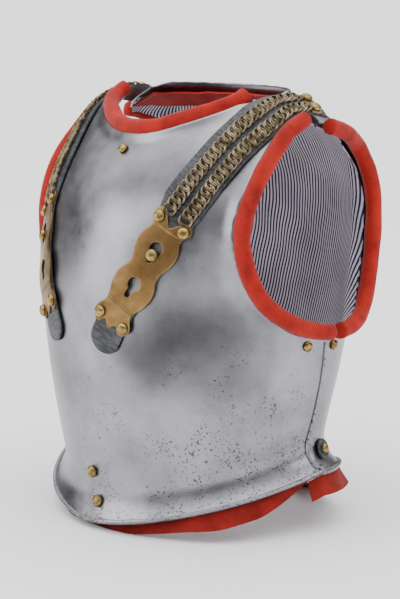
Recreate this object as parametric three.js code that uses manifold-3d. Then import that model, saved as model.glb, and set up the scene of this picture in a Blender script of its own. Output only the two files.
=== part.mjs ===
// A heavy cavalry cuirass: a polished steel breastplate and backplate, lined with striped ticking that is
// bordered with stuffed red cloth rolls, and joined over the shoulders by leather straps that carry two rows of
// chain and hook by brass keyhole plates on studs in the breast.
//
// Lengths are millimetres and +Z is up. The breast faces -Y and the wearer's left is +X. The origin is on the
// floor, under the middle of the object's box. Every piece is placed on one torso surface, by an angle round the
// body (0 at the middle of the breast, 180 degrees at the spine) and a height.
import * as THREE from "three";
import { mergeVertices } from "three/addons/utils/BufferGeometryUtils.js";
import Module from "manifold-3d";

const wasm = await Module();
wasm.setup();

// Torso form: the sizes that the section table's shares belong to.
const BODY_HEIGHT = 438;
const CHEST_HALF_WIDTH = 177;
const BREAST_DEPTH = 176;
const BACK_DEPTH = 137;
const SIDE_LINE = 26.5;

// Sections of the torso from the hem up, read along one smooth curve.
// height: share of BODY_HEIGHT; halfWidth: share of CHEST_HALF_WIDTH; front: share of BREAST_DEPTH;
// back: share of BACK_DEPTH, both from the side line; breastFull, backFull: how much squarer than an ellipse.
const SECTIONS = [
  { height: 0.0, halfWidth: 0.85, front: 0.875, back: 0.545, breastFull: 0.0, backFull: 0.0 },
  { height: 0.068, halfWidth: 0.84, front: 0.875, back: 0.53, breastFull: 0.0, backFull: 0.0 },
  { height: 0.137, halfWidth: 0.85, front: 0.888, back: 0.525, breastFull: 0.0, backFull: 0.0 },
  { height: 0.24, halfWidth: 0.908, front: 0.93, back: 0.565, breastFull: 0.0, backFull: 0.01 },
  { height: 0.377, halfWidth: 0.96, front: 0.975, back: 0.72, breastFull: 0.0, backFull: 0.015 },
  { height: 0.525, halfWidth: 0.988, front: 0.995, back: 0.86, breastFull: 0.0, backFull: 0.02 },
  { height: 0.662, halfWidth: 0.994, front: 0.93, back: 0.955, breastFull: 0.01, backFull: 0.02 },
  { height: 0.776, halfWidth: 0.985, front: 0.81, back: 0.94, breastFull: 0.02, backFull: 0.025 },
  { height: 0.863, halfWidth: 0.955, front: 0.64, back: 0.815, breastFull: 0.02, backFull: 0.03 },
  { height: 0.913, halfWidth: 0.908, front: 0.535, back: 0.69, breastFull: 0.02, backFull: 0.03 },
  { height: 0.943, halfWidth: 0.836, front: 0.46, back: 0.585, breastFull: 0.02, backFull: 0.02 },
  { height: 0.968, halfWidth: 0.705, front: 0.39, back: 0.485, breastFull: 0.01, backFull: 0.01 },
  { height: 0.986, halfWidth: 0.585, front: 0.35, back: 0.415, breastFull: 0.0, backFull: 0.0 },
  { height: 1.0, halfWidth: 0.505, front: 0.33, back: 0.375, breastFull: 0.0, backFull: 0.0 },
];

// Lower edge: its height at the middle of the breast, at the sides and at the spine, and its flare.
const RIM_FRONT_HEIGHT = 6;
const RIM_SIDE_HEIGHT = 62;
const RIM_BACK_HEIGHT = 16;
const BREAST_FLARE = 13;
const BACK_FLARE = 25;
const FLARE_HEIGHT = 36;

// Steel walls, cloth and the clearances between pieces.
const BREAST_WALL = 3;
const BACK_WALL = 2;
const LINING_WALL = 3;
const CLOTH_WALL = 2.2;
const SEAT_GAP = 0.4;
const LAP_GAP = 1.7;
const CLOTH_GAP = 1.1;
const ROLL_CLEARANCE = 0.4;
const LAP_ANGLE = 83;

// Turned-out edges of the steel at the neck and the armholes.
const NECK_LIP = 5;
const NECK_LIP_WIDTH = 14;
const ARM_LIP = 10;
const ARM_LIP_WIDTH = 18;

// Stuffed cloth rolls along the neck and armholes: their half thickness, how far the middle of the roll lies
// past the steel edge, and how far it stands off the torso surface.
const ROLL_RADIUS = 8;
const NECK_ROLL_REACH = 10.2;
const ARM_ROLL_REACH = 9;
const BACK_ROLL_REACH = 8.8;
const ARM_ROLL_LIFT = 13;
const ARM_ROLL_TOP_LIFT = 5;
const NECK_ROLL_LIFT = 2;
const ROLL_SIDES = 8;

// Cloth skirts inside the flare, and the cloth band inside the back of the neck.
const SKIRT_ABOVE_RIM = 20;
const FRONT_SKIRT_DROP = 17;
const BACK_SKIRT_DROP = 20;
const NECK_BAND_HEIGHT = 13;

// Shoulder strap: leather, two rows of chain and a keyhole plate, all laid out along the strap's middle line,
// from its rounded tip on the breast (0) to its end on the back of the shoulder.
const STRAP_WALL = 2.2;
const STRAP_SEAT = 1.6;
const STRAP_HALF_WIDTH = 17;
const STRAP_INNER_MARGIN = 27;
const STRAP_OUTER_MARGIN = 19;
const STRAP_TAIL = 12;
const CHAIN_OFFSET = 9.5;
const CHAIN_HALF_WIDTH = 7;
const CHAIN_HEIGHT = 4;
const CHAIN_SIDES = 8;
const CHAIN_STEP = 17;
const PLATE_WALL = 1.4;
const PLATE_START = 28;
const PLATE_LENGTH = 128;
const PLATE_HALF_WIDTH = 22;
const PLATE_RIVET_OFFSET = 14.5;
const PLATE_RIVET_INSET = 9;
const PLATE_LOWER_RIVETS = PLATE_START + PLATE_RIVET_INSET;
const PLATE_UPPER_RIVETS = PLATE_START + PLATE_LENGTH - PLATE_RIVET_INSET;
const KEYHOLE_RADIUS = 6.8;
const KEYHOLE_SLOT_HALF = 3.1;
const KEYHOLE_SLOT_REACH = 12;
const UPPER_KEYHOLE = PLATE_START + 0.719 * PLATE_LENGTH;
const LOWER_KEYHOLE = PLATE_START + 0.406 * PLATE_LENGTH;

// Brass rivets and studs: domes on short shanks, each in a drilled hole.
const STUD_HEAD_RADIUS = 5.2;
const STUD_HEAD_HEIGHT = 3.8;
const STUD_SHANK_RADIUS = 1.8;
const RIVET_HEAD_RADIUS = 6;
const RIVET_HEAD_HEIGHT = 4.2;
const HOLE_CLEARANCE = 0.3;
const HOLE_DEPTH = 16;
const HEAD_SIDES = 8;
const KEYHOLE_STUD_NECK = 2.6;
const KEYHOLE_STUD_HEAD = 6.2;
const KEYHOLE_STUD_HEIGHT = 4.6;
const KEYHOLE_STUD_SHIFT = 5;
const WASHER_RADIUS = 10.2;
const WASHER_WALL = 2;
const WASHER_SIDES = 12;
const WASHER_LIFT = 1.7;

const degrees = THREE.MathUtils.degToRad;
const lerp = THREE.MathUtils.lerp;
const clamp = THREE.MathUtils.clamp;

// One column of a table, read at a fractional row by a uniform Catmull-Rom curve.
function along(rows, column, position) {
  const last = rows.length - 1;
  const at = clamp(position, -0.6, last);
  const row = clamp(Math.floor(at), 0, last - 1);
  const t = at - row;
  const value = (i) => {
    if (i < 0) return 2 * rows[0][column] - rows[1][column];
    if (i > last) return 2 * rows[last][column] - rows[last - 1][column];
    return rows[i][column];
  };
  const [a, b, c, d] = [value(row - 1), value(row), value(row + 1), value(row + 2)];
  return (
    b +
    0.5 * t * (c - a + t * (2 * a - 5 * b + 4 * c - d + t * (3 * (b - c) + d - a)))
  );
}

// The section position, in rows of SECTIONS, at a share of the body's height.
function sectionAt(heightShare) {
  let low = -0.6;
  let high = SECTIONS.length - 1;
  for (let i = 0; i < 40; i++) {
    const middle = (low + high) / 2;
    if (along(SECTIONS, "height", middle) < heightShare) low = middle;
    else high = middle;
  }
  return (low + high) / 2;
}

// Height of the lower edge at an angle round the body: it climbs to the hips and dips again at the spine.
function rimHeight(angle) {
  const turn = Math.acos(Math.cos(angle)) / (Math.PI / 2);
  if (turn <= 1) return lerp(RIM_FRONT_HEIGHT, RIM_SIDE_HEIGHT, Math.pow(turn, 1.35));
  const backwards = Math.pow(turn - 1, 2);
  return lerp(RIM_SIDE_HEIGHT, RIM_BACK_HEIGHT, THREE.MathUtils.smoothstep(backwards, 0, 1));
}

// A point of the torso surface, with the flare that follows the lower edge and runs straight on below it.
function torsoPoint(angle, section) {
  const front = Math.cos(angle) >= 0;
  const halfWidth = CHEST_HALF_WIDTH * along(SECTIONS, "halfWidth", section);
  const depth = front
    ? BREAST_DEPTH * along(SECTIONS, "front", section)
    : BACK_DEPTH * along(SECTIONS, "back", section);
  const fullness = along(SECTIONS, front ? "breastFull" : "backFull", section);
  const swell = 1 + fullness * Math.pow(Math.sin(2 * angle), 2);
  const height = BODY_HEIGHT * along(SECTIONS, "height", section);
  const above = (height - rimHeight(angle)) / FLARE_HEIGHT;
  const reach = lerp(BACK_FLARE, BREAST_FLARE, (1 + Math.cos(angle)) / 2);
  const flare = above < 1 ? reach * (above > 0 ? Math.pow(1 - above, 2) : 1 - above) : 0;
  const outward = new THREE.Vector2(Math.sin(angle) / halfWidth, -Math.cos(angle) / depth).normalize();
  return new THREE.Vector3(
    halfWidth * swell * Math.sin(angle) + flare * outward.x,
    SIDE_LINE - depth * swell * Math.cos(angle) + flare * outward.y,
    height,
  );
}

// The outward normal of the torso surface.
function torsoNormal(angle, section) {
  const step = 0.01;
  const round = torsoPoint(angle + step, section).sub(torsoPoint(angle - step, section));
  const up = torsoPoint(angle, section + step).sub(torsoPoint(angle, section - step));
  return round.cross(up).normalize();
}

// A point lifted off the torso surface along its normal.
function lifted(angle, section, lift) {
  return torsoPoint(angle, section).addScaledVector(torsoNormal(angle, section), lift);
}

// A smooth line on the torso through [angle in degrees, height share] points, kept as a flat map in which both
// coordinates are near millimetres, so that it can be walked at an even pace.
const MAP_ROUND = 150;
const MAP_UP = 38;

function toMap(angleDegrees, heightShare) {
  return new THREE.Vector2(degrees(angleDegrees) * MAP_ROUND, sectionAt(heightShare) * MAP_UP);
}

function surfaceLine(points) {
  return new THREE.SplineCurve(points.map(([angle, share]) => toMap(angle, share)));
}

// Two lines end to end as one function of 0 to 1, with their corner at share `corner`.
function joined(first, second, corner) {
  return (t) =>
    t <= corner
      ? first.getPointAt(clamp(t / corner, 0, 1))
      : second.getPointAt(clamp((t - corner) / (1 - corner), 0, 1));
}

// Shares from 0 to 1 with `count` even steps, as a plain array.
function steps(count, from = 0, to = 1) {
  return Array.from({ length: count + 1 }, (_, i) => lerp(from, to, i / count));
}

// The angle and section of the torso point nearest to a point in space, refined from a first guess.
function nearestOnTorso(target, guess) {
  let [angle, section] = guess;
  const step = 0.001;
  for (let i = 0; i < 12; i++) {
    const here = torsoPoint(angle, section);
    const round = torsoPoint(angle + step, section).sub(here).divideScalar(step);
    const up = torsoPoint(angle, section + step).sub(here).divideScalar(step);
    const miss = target.clone().sub(here);
    const [rr, ru, uu] = [round.dot(round), round.dot(up), up.dot(up)];
    const [rm, um] = [round.dot(miss), up.dot(miss)];
    const whole = rr * uu - ru * ru;
    angle += clamp((rm * uu - um * ru) / whole, -0.15, 0.15);
    section += clamp((um * rr - rm * ru) / whole, -0.7, 0.7);
  }
  return [angle, section];
}

// A plate's grid: the patch between four border lines on the torso, mirrored about the middle. `hem` and `top`
// run from the middle to the side, `middle` and `side` run upwards, all as functions of 0 to 1 on the flat map.
// The patch spans from `middle` to `side`, takes up the bow of `hem` and `top` towards its ends, and is then
// dropped onto the torso.
function plateGrid({ hem, top, middle, side, across, upwards, lift, lips }) {
  const onBody = (at, off) => lifted(at.x / MAP_ROUND, at.y / MAP_UP, off);
  const edges = {
    top: steps(60).map((t) => onBody(top(t), lift)),
    side: steps(90).map((t) => onBody(side(t), lift)),
  };
  const nearest = (point, line) => Math.min(...line.map((p) => p.distanceTo(point)));
  const level = (u, start, end) => start.multiplyScalar(1 - u).addScaledVector(end, u);
  const bow = (line, u, value) => value(line(u)).sub(level(u, value(line(0)), value(line(1))));
  const blend = (u, v, value) =>
    level(u, value(middle(v)), value(side(v)))
      .addScaledVector(bow(hem, u, value), Math.pow(1 - v, 3))
      .addScaledVector(bow(top, u, value), Math.pow(v, 3));
  const half = upwards.map((v) =>
    across.map((u) => {
      const onBorder = u === 0 || u === 1 || v === 0 || v === 1;
      const flat = blend(u, v, (at) => at.clone());
      const guess = [flat.x / MAP_ROUND, flat.y / MAP_UP];
      const [angle, section] = onBorder
        ? guess
        : nearestOnTorso(blend(u, v, (at) => onBody(at, 0)), guess);
      const point = lifted(angle, section, lift);
      const rise = lips({ u, v }, { toTop: nearest(point, edges.top), toSide: nearest(point, edges.side) });
      return point.addScaledVector(torsoNormal(angle, section), rise);
    }),
  );
  return half.map((row) => [...row.slice(1).reverse().map(mirror), ...row]);
}

function mirror(vector) {
  return new THREE.Vector3(-vector.x, vector.y, vector.z);
}

// A turned-out lip's height at a distance from the edge.
function lipAt(distance, width, height) {
  return distance < width ? height * Math.pow(1 - distance / width, 2) : 0;
}

// Normals of a grid of points, from the differences between neighbours.
function gridNormals(points) {
  const rows = points.length;
  const columns = points[0].length;
  return points.map((row, j) =>
    row.map((_, i) => {
      const round = points[j][Math.min(i + 1, columns - 1)].clone().sub(points[j][Math.max(i - 1, 0)]);
      const up = points[Math.min(j + 1, rows - 1)][i].clone().sub(points[Math.max(j - 1, 0)][i]);
      return round.cross(up).normalize();
    }),
  );
}

// The closed solid between two lifts of a grid of points along its normals.
function shell(points, outer, inner) {
  const normals = gridNormals(points);
  const layer = (lift) =>
    points.map((row, j) => row.map((p, i) => p.clone().addScaledVector(normals[j][i], lift)));
  return solidBetween(layer(outer), layer(inner));
}

// The closed solid between an outer and an inner grid of points. Each cell is split along its shorter diagonal.
function solidBetween(outer, inner) {
  const rows = outer.length;
  const columns = outer[0].length;
  const positions = [...outer.flat(), ...inner.flat()].flatMap((p) => [p.x, p.y, p.z]);
  const at = (layer, j, i) => layer * rows * columns + j * columns + i;
  const index = [];
  const quad = (a, b, c, d) => index.push(a, b, c, a, c, d);
  for (let j = 0; j < rows - 1; j++)
    for (let i = 0; i < columns - 1; i++) {
      const rising = outer[j][i].distanceTo(outer[j + 1][i + 1]);
      const falling = outer[j][i + 1].distanceTo(outer[j + 1][i]);
      if (rising <= falling) {
        quad(at(0, j, i), at(0, j, i + 1), at(0, j + 1, i + 1), at(0, j + 1, i));
        quad(at(1, j + 1, i + 1), at(1, j, i + 1), at(1, j, i), at(1, j + 1, i));
      } else {
        quad(at(0, j, i + 1), at(0, j + 1, i + 1), at(0, j + 1, i), at(0, j, i));
        quad(at(1, j + 1, i), at(1, j + 1, i + 1), at(1, j, i + 1), at(1, j, i));
      }
    }
  for (let i = 0; i < columns - 1; i++) {
    quad(at(0, 0, i), at(1, 0, i), at(1, 0, i + 1), at(0, 0, i + 1));
    quad(at(0, rows - 1, i), at(0, rows - 1, i + 1), at(1, rows - 1, i + 1), at(1, rows - 1, i));
  }
  for (let j = 0; j < rows - 1; j++) {
    quad(at(0, j, 0), at(0, j + 1, 0), at(1, j + 1, 0), at(1, j, 0));
    quad(at(0, j, columns - 1), at(1, j, columns - 1), at(1, j + 1, columns - 1), at(0, j + 1, columns - 1));
  }
  return new THREE.BufferGeometry()
    .setAttribute("position", new THREE.Float32BufferAttribute(positions, 3))
    .setIndex(index);
}

// A geometry stripped to its positions, with shared points joined and triangles of no area dropped.
function joinedUp(geometry) {
  const bare = geometry.clone();
  bare.deleteAttribute("normal");
  bare.deleteAttribute("uv");
  const merged = mergeVertices(bare, 1e-4);
  const corners = Array.from(merged.index.array);
  const kept = corners.filter((_, i) => {
    const [a, b, c] = corners.slice(i - (i % 3), i - (i % 3) + 3);
    return a !== b && b !== c && c !== a;
  });
  return merged.setIndex(kept);
}

// A geometry with each point moved, and its faces turned over where the move mirrors it.
function moved(geometry, move, mirrors) {
  const bare = joinedUp(geometry);
  const spots = bare.attributes.position;
  for (let i = 0; i < spots.count; i++) {
    const spot = move(new THREE.Vector3().fromBufferAttribute(spots, i));
    spots.setXYZ(i, spot.x, spot.y, spot.z);
  }
  return mirrors ? bare.setIndex(Array.from(bare.index.array).reverse()) : bare;
}

const mirrored = (geometry) => moved(geometry, mirror, true);

// Conversions between geometry and the solids that are cut and joined.
function solidOf(geometry) {
  const bare = joinedUp(geometry);
  return new wasm.Manifold(
    new wasm.Mesh({
      numProp: 3,
      vertProperties: new Float32Array(bare.attributes.position.array),
      triVerts: new Uint32Array(bare.index.array),
    }),
  );
}

function geometryOf(solid) {
  const mesh = solid.getMesh();
  return new THREE.BufferGeometry()
    .setAttribute("position", new THREE.BufferAttribute(new Float32Array(mesh.vertProperties), mesh.numProp))
    .setIndex(new THREE.BufferAttribute(new Uint32Array(mesh.triVerts), 1));
}

function joinedSolid(geometries) {
  return wasm.Manifold.union(geometries.map(solidOf));
}

// Corners of a round or oval outline with a set number of sides.
function ovalCorners(halfAcross, halfUp, sides) {
  return steps(sides - 1, 0.5, sides - 0.5).map((corner) => {
    const turn = (2 * Math.PI * corner) / sides;
    return new THREE.Vector2(halfAcross * Math.cos(turn), halfUp * Math.sin(turn));
  });
}

// Border lines of the breastplate: [angle in degrees, share of BODY_HEIGHT].
const BREAST_NECK_HEIGHT = 0.887;
const NECK_LINE = surfaceLine([
  [0, BREAST_NECK_HEIGHT],
  [6, 0.888],
  [14, 0.897],
  [25, 0.918],
  [37, 0.94],
  [50, 0.961],
  [60, 0.975],
]);
const SHOULDER_LINE = surfaceLine([
  [60, 0.975],
  [69, 0.961],
  [80, 0.943],
]);
const ARMPIT_HEIGHT = 0.45;
const ARM_LINE = surfaceLine([
  [90, ARMPIT_HEIGHT],
  [82, 0.459],
  [73, 0.482],
  [64, 0.527],
  [58, 0.587],
  [54.5, 0.65],
  [53, 0.71],
  [54.5, 0.79],
  [58.5, 0.865],
  [66, 0.918],
  [80, 0.943],
]);

// Border lines of the backplate, read from the spine outwards.
const BACK_NECK_HEIGHT = 0.99;
const BACK_NECK_LINE = surfaceLine([
  [180, BACK_NECK_HEIGHT],
  [150, BACK_NECK_HEIGHT],
  [120, BACK_NECK_HEIGHT],
  [86, BACK_NECK_HEIGHT],
]);
const BACK_SHOULDER_LINE = surfaceLine([
  [86, BACK_NECK_HEIGHT],
  [91, 0.97],
  [97, 0.932],
]);
const BACK_ARM_LINE = surfaceLine([
  [LAP_ANGLE, ARMPIT_HEIGHT],
  [98, 0.45],
  [109, 0.461],
  [117, 0.482],
  [122, 0.514],
  [126, 0.555],
  [129, 0.61],
  [131, 0.665],
  [132, 0.724],
  [133, 0.79],
  [132.5, 0.845],
  [128, 0.887],
  [113, 0.917],
  [97, 0.932],
]);

function hemLine(fromDegrees, toDegrees) {
  return (t) => {
    const angle = lerp(fromDegrees, toDegrees, t);
    return toMap(angle, rimHeight(degrees(angle)) / BODY_HEIGHT);
  };
}

function uprightLine(angle, fromShare, toShare) {
  return surfaceLine([
    [angle, fromShare],
    [angle, lerp(fromShare, toShare, 0.5)],
    [angle, toShare],
  ]);
}

const NECK_CORNER = 0.7;
const BACK_NECK_CORNER = 0.61;
const ARMPIT_CORNER = 0.42;
const hemShare = (angleDegrees) => rimHeight(degrees(angleDegrees)) / BODY_HEIGHT;

// The breastplate's side edge, which curves forward at the waist: [angle in degrees, share of BODY_HEIGHT].
const breastSideLine = surfaceLine([
  [90, hemShare(90)],
  [87.6, 0.165],
  [86.4, 0.2],
  [87.6, 0.255],
  [89.4, 0.35],
  [90, ARMPIT_HEIGHT],
]);

// The four borders of each plate, as functions of 0 to 1.
const breastBorders = {
  hem: hemLine(0, 90),
  top: joined(NECK_LINE, SHOULDER_LINE, NECK_CORNER),
  middle: (v) => uprightLine(0, hemShare(0), BREAST_NECK_HEIGHT).getPointAt(v),
  side: joined(breastSideLine, ARM_LINE, ARMPIT_CORNER),
};
const backBorders = {
  hem: hemLine(180, LAP_ANGLE),
  top: joined(BACK_NECK_LINE, BACK_SHOULDER_LINE, BACK_NECK_CORNER),
  middle: (v) => uprightLine(180, hemShare(180), BACK_NECK_HEIGHT).getPointAt(v),
  side: joined(uprightLine(LAP_ANGLE, hemShare(LAP_ANGLE), ARMPIT_HEIGHT), BACK_ARM_LINE, ARMPIT_CORNER),
};

// The lips of a plate: at the neck as far as its corner, and round the armhole above the lap.
function turnedOut(neckCorner) {
  return (node, near) =>
    lipAt(near.toTop, NECK_LIP_WIDTH, NECK_LIP) * clamp((neckCorner - 0.05 - node.u) / 0.2, 0, 1) +
    lipAt(near.toSide, ARM_LIP_WIDTH, ARM_LIP) * clamp((node.v - ARMPIT_CORNER - 0.06) / 0.1, 0, 1) *
      clamp((0.84 - node.v) / 0.12, 0, 1);
}

const flatPlate = () => 0;
const STEEL_ROWS = [
  0, 0.03, 0.07, 0.13, 0.22, 0.32, ARMPIT_CORNER, 0.455, 0.5, 0.55, 0.61, 0.68, 0.76, 0.83, 0.9, 0.955, 1,
];
const BREAST_COLUMNS = [0, 0.13, 0.26, 0.38, 0.49, 0.6, NECK_CORNER, 0.79, 0.87, 0.94, 1];
const BACK_COLUMNS = [0, 0.13, 0.26, 0.38, 0.5, BACK_NECK_CORNER, 0.71, 0.8, 0.87, 0.935, 1];
const LINING_ROWS = [0.13, 0.22, 0.32, ARMPIT_CORNER, 0.5, 0.61, 0.76, 0.9];
const BACK_LINING_ROWS = [0.13, 0.22, 0.32, ARMPIT_CORNER, 0.5, 0.61, 0.76, 0.87];

function gridOf(borders, across, upwards, lift, lips) {
  const grid = plateGrid({ ...borders, across, upwards, lift, lips });
  return borders === backBorders ? grid.map((row) => row.slice().reverse()) : grid;
}

const BACK_LIFT = -(BREAST_WALL + LAP_GAP);
const breastSteel = shell(
  gridOf(breastBorders, BREAST_COLUMNS, STEEL_ROWS, 0, turnedOut(NECK_CORNER)),
  0,
  -BREAST_WALL,
);
const backSteel = shell(
  gridOf(backBorders, BACK_COLUMNS, STEEL_ROWS, BACK_LIFT, turnedOut(BACK_NECK_CORNER)),
  0,
  -BACK_WALL,
);
const breastLining = shell(
  gridOf(breastBorders, BREAST_COLUMNS.slice(0, -2), LINING_ROWS, -(BREAST_WALL + CLOTH_GAP), flatPlate),
  0,
  -LINING_WALL,
);
const backLining = shell(
  gridOf(backBorders, BACK_COLUMNS.slice(0, -2), BACK_LINING_ROWS, BACK_LIFT - BACK_WALL - LAP_GAP, flatPlate),
  0,
  -LINING_WALL,
);

// A round roll along a border of a plate, past its edge.
function roll(line, from, to, count, lift, base, reach, radius = ROLL_RADIUS) {
  const middle = (t) => {
    const at = line(t);
    const ahead = line(Math.min(t + 0.004, 1));
    const behind = line(Math.max(t - 0.004, 0));
    const spot = lifted(at.x / MAP_ROUND, at.y / MAP_UP, base);
    const normal = torsoNormal(at.x / MAP_ROUND, at.y / MAP_UP);
    const along = lifted(ahead.x / MAP_ROUND, ahead.y / MAP_UP, base).sub(
      lifted(behind.x / MAP_ROUND, behind.y / MAP_UP, base),
    );
    const beyond = normal.clone().cross(along).normalize();
    return spot.addScaledVector(beyond, reach * line.side).addScaledVector(normal, lift(t));
  };
  const extrudePath = new THREE.CatmullRomCurve3(steps(count, from, to).map(middle));
  const section = new THREE.Shape(ovalCorners(radius, radius, ROLL_SIDES));
  return new THREE.ExtrudeGeometry(section, { extrudePath, steps: count, bevelEnabled: false });
}

const armEdge = (t) => ARM_LINE.getPointAt(t);
armEdge.side = -1;
const backArmEdge = (t) => BACK_ARM_LINE.getPointAt(t);
backArmEdge.side = 1;
const neckEdge = (t) =>
  t < 0.5
    ? NECK_LINE.getPointAt(1 - 2 * t).multiply(new THREE.Vector2(-1, 1))
    : NECK_LINE.getPointAt(2 * t - 1);
neckEdge.side = 1;

// The arm rolls stand off with the turned-out edge and come down to the steel at the shoulder.
const armLift = (t) => lerp(ARM_ROLL_LIFT, ARM_ROLL_TOP_LIFT, THREE.MathUtils.smoothstep(t, 0.5, 0.78));
const neckLift = () => NECK_ROLL_LIFT;
const breastArm = [armEdge, 0.015, 0.97, 17, armLift, 0, ARM_ROLL_REACH];
const backArm = [backArmEdge, 0.085, 0.985, 17, armLift, BACK_LIFT, BACK_ROLL_REACH];
const neck = [neckEdge, 0.01, 0.99, 16, neckLift, 0, NECK_ROLL_REACH];

// The steel is cut back to a clearance wherever a roll is let into its edge, and a little past the roll's ends.
const ROLL_END_ROOM = 0.003;
const rollRoom = ([line, from, to, ...rest]) =>
  roll(line, from - ROLL_END_ROOM, to + ROLL_END_ROOM, ...rest, ROLL_RADIUS + ROLL_CLEARANCE);
const bothSides = (geometry) => [geometry, mirrored(geometry)];

// How far the front skirt hangs below the rim, as it swells to each side and runs out at the lap.
// angle: in degrees; drop: share of FRONT_SKIRT_DROP.
const FRONT_SKIRT_EDGE = [
  { angle: 0, drop: 0.6 },
  { angle: 27, drop: 0.8 },
  { angle: 54, drop: 1 },
  { angle: 81, drop: 0.2 },
];
const SKIRT_END_ANGLE = 81;
const frontDrop = (angle) => {
  const row = (Math.abs(angle) / SKIRT_END_ANGLE) * (FRONT_SKIRT_EDGE.length - 1);
  return FRONT_SKIRT_DROP * along(FRONT_SKIRT_EDGE, "drop", row);
};

// A cloth skirt inside the flare of a plate: from a little above the rim down past it, cut level at the floor.
function skirt(fromAngle, toAngle, columns, lift, dropAt) {
  const grid = [-1, 0, 0.45, 1].map((level) =>
    steps(columns, fromAngle, toAngle).map((angle) => {
      const rise = level < 0 ? level * dropAt(angle) : level * SKIRT_ABOVE_RIM;
      const height = Math.max(rimHeight(degrees(angle)) + rise, -6 + 3 * level);
      return lifted(degrees(angle), sectionAt(height / BODY_HEIGHT), lift);
    }),
  );
  const ground = new THREE.BoxGeometry(1000, 1000, 100).translate(0, 0, -50);
  return geometryOf(solidOf(shell(grid, 0, -CLOTH_WALL)).subtract(solidOf(ground)));
}

const frontSkirt = skirt(-SKIRT_END_ANGLE, SKIRT_END_ANGLE, 18, -(BREAST_WALL + CLOTH_GAP), frontDrop);
const backSkirt = skirt(85, 275, 20, BACK_LIFT - BACK_WALL - CLOTH_GAP, () => BACK_SKIRT_DROP);

// The cloth band inside the back of the neck, above the lining.
function neckBand() {
  const rows = [BACK_NECK_HEIGHT - NECK_BAND_HEIGHT / BODY_HEIGHT, BACK_NECK_HEIGHT - 0.002].map((share) =>
    steps(14, 92, 268).map((angle) =>
      lifted(degrees(angle), sectionAt(share), BACK_LIFT - BACK_WALL - LINING_WALL - 2 * LAP_GAP),
    ),
  );
  return shell(rows, 0, -CLOTH_WALL);
}

// The middle line of the wearer's left strap: [angle in degrees, share of BODY_HEIGHT], tip first.
const STRAP_LINE = [
  [11.5, 0.425],
  [17.5, 0.505],
  [24.5, 0.583],
  [29.5, 0.651],
  [33.8, 0.717],
  [38, 0.775],
  [42, 0.83],
  [47.5, 0.885],
  [56, 0.925],
  [70, 0.952],
  [88, 0.958],
  [104, 0.95],
];
const strapCurve = surfaceLine(STRAP_LINE);
const strapSpots = steps(160).map((t) => {
  const at = strapCurve.getPoint(t);
  const [angle, section] = [at.x / MAP_ROUND, at.y / MAP_UP];
  return { angle, section, point: lifted(angle, section, 0), run: 0 };
});
strapSpots.forEach((spot, i) => {
  if (i > 0) spot.run = strapSpots[i - 1].run + spot.point.distanceTo(strapSpots[i - 1].point);
});
const STRAP_LENGTH = strapSpots[strapSpots.length - 1].run;

// A point of the strap: `run` along its middle line, `offset` towards the arm, `lift` off the torso surface.
function strapPoint(run, offset, lift) {
  const last = strapSpots.length - 1;
  let i = strapSpots.findIndex((spot) => spot.run > run);
  i = clamp(i < 0 ? last : i, 1, last);
  const [a, b] = [strapSpots[i - 1], strapSpots[i]];
  const t = (run - a.run) / (b.run - a.run);
  const angle = lerp(a.angle, b.angle, t);
  const section = lerp(a.section, b.section, t);
  const wide = strapSpots[Math.min(i + 4, last)].point.clone().sub(strapSpots[Math.max(i - 5, 0)].point).normalize();
  const sideways = wide.cross(torsoNormal(angle, section)).normalize();
  const step = 0.002;
  const round = torsoPoint(angle + step, section).sub(torsoPoint(angle - step, section)).divideScalar(2 * step);
  const up = torsoPoint(angle, section + step).sub(torsoPoint(angle, section - step)).divideScalar(2 * step);
  const [rr, ru, uu] = [round.dot(round), round.dot(up), up.dot(up)];
  const [rs, us] = [round.dot(sideways) * offset, up.dot(sideways) * offset];
  const whole = rr * uu - ru * ru;
  return lifted(angle + (rs * uu - us * ru) / whole, section + (us * rr - rs * ru) / whole, lift);
}

// A geometry drawn flat in strap coordinates (run, offset, lift), laid on the breast.
function laidOnStrap(geometry) {
  return moved(geometry, (spot) => strapPoint(spot.x, spot.y, spot.z), true);
}

// A band laid on the strap: [run, inner offset, outer offset] rows, `wide` cells across, between two lifts.
function strapBand(rows, wide, low, high) {
  const layer = (lift) =>
    rows.map(([run, inner, outer]) =>
      steps(wide, 0, 1).map((share) => strapPoint(run, lerp(inner, outer, share), lift)),
    );
  return solidBetween(layer(high), layer(low));
}

// Cutters go right through the strap, from under the leather to above the brass.
const CUTTER_LOW = -1;
const CUTTER_DEPTH = 10;

// A cutter from an outline drawn flat in strap coordinates.
function strapCutter(outline) {
  const options = { depth: CUTTER_DEPTH, bevelEnabled: false, curveSegments: 5 };
  return laidOnStrap(new THREE.ExtrudeGeometry(outline, options).translate(0, 0, CUTTER_LOW));
}

// A keyhole cutter: round for the stud's head, with a slot towards the strap's tip for its neck.
function keyhole(run, grow) {
  const half = KEYHOLE_SLOT_HALF + grow;
  const radius = KEYHOLE_RADIUS + grow;
  const lean = Math.asin(half / radius);
  const outline = new THREE.Shape()
    .absarc(run, 0, radius, lean - Math.PI, Math.PI - lean, false)
    .absarc(run - KEYHOLE_SLOT_REACH, 0, half, Math.PI / 2, 1.5 * Math.PI, false);
  return strapCutter(outline);
}

const plateRivets = [PLATE_LOWER_RIVETS, PLATE_UPPER_RIVETS].flatMap((run) => [
  [run, -PLATE_RIVET_OFFSET],
  [run, PLATE_RIVET_OFFSET],
]);
const shoulderRivets = [
  [STRAP_LENGTH - STRAP_TAIL, -CHAIN_OFFSET],
  [STRAP_LENGTH - STRAP_TAIL, CHAIN_OFFSET],
];

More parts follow.
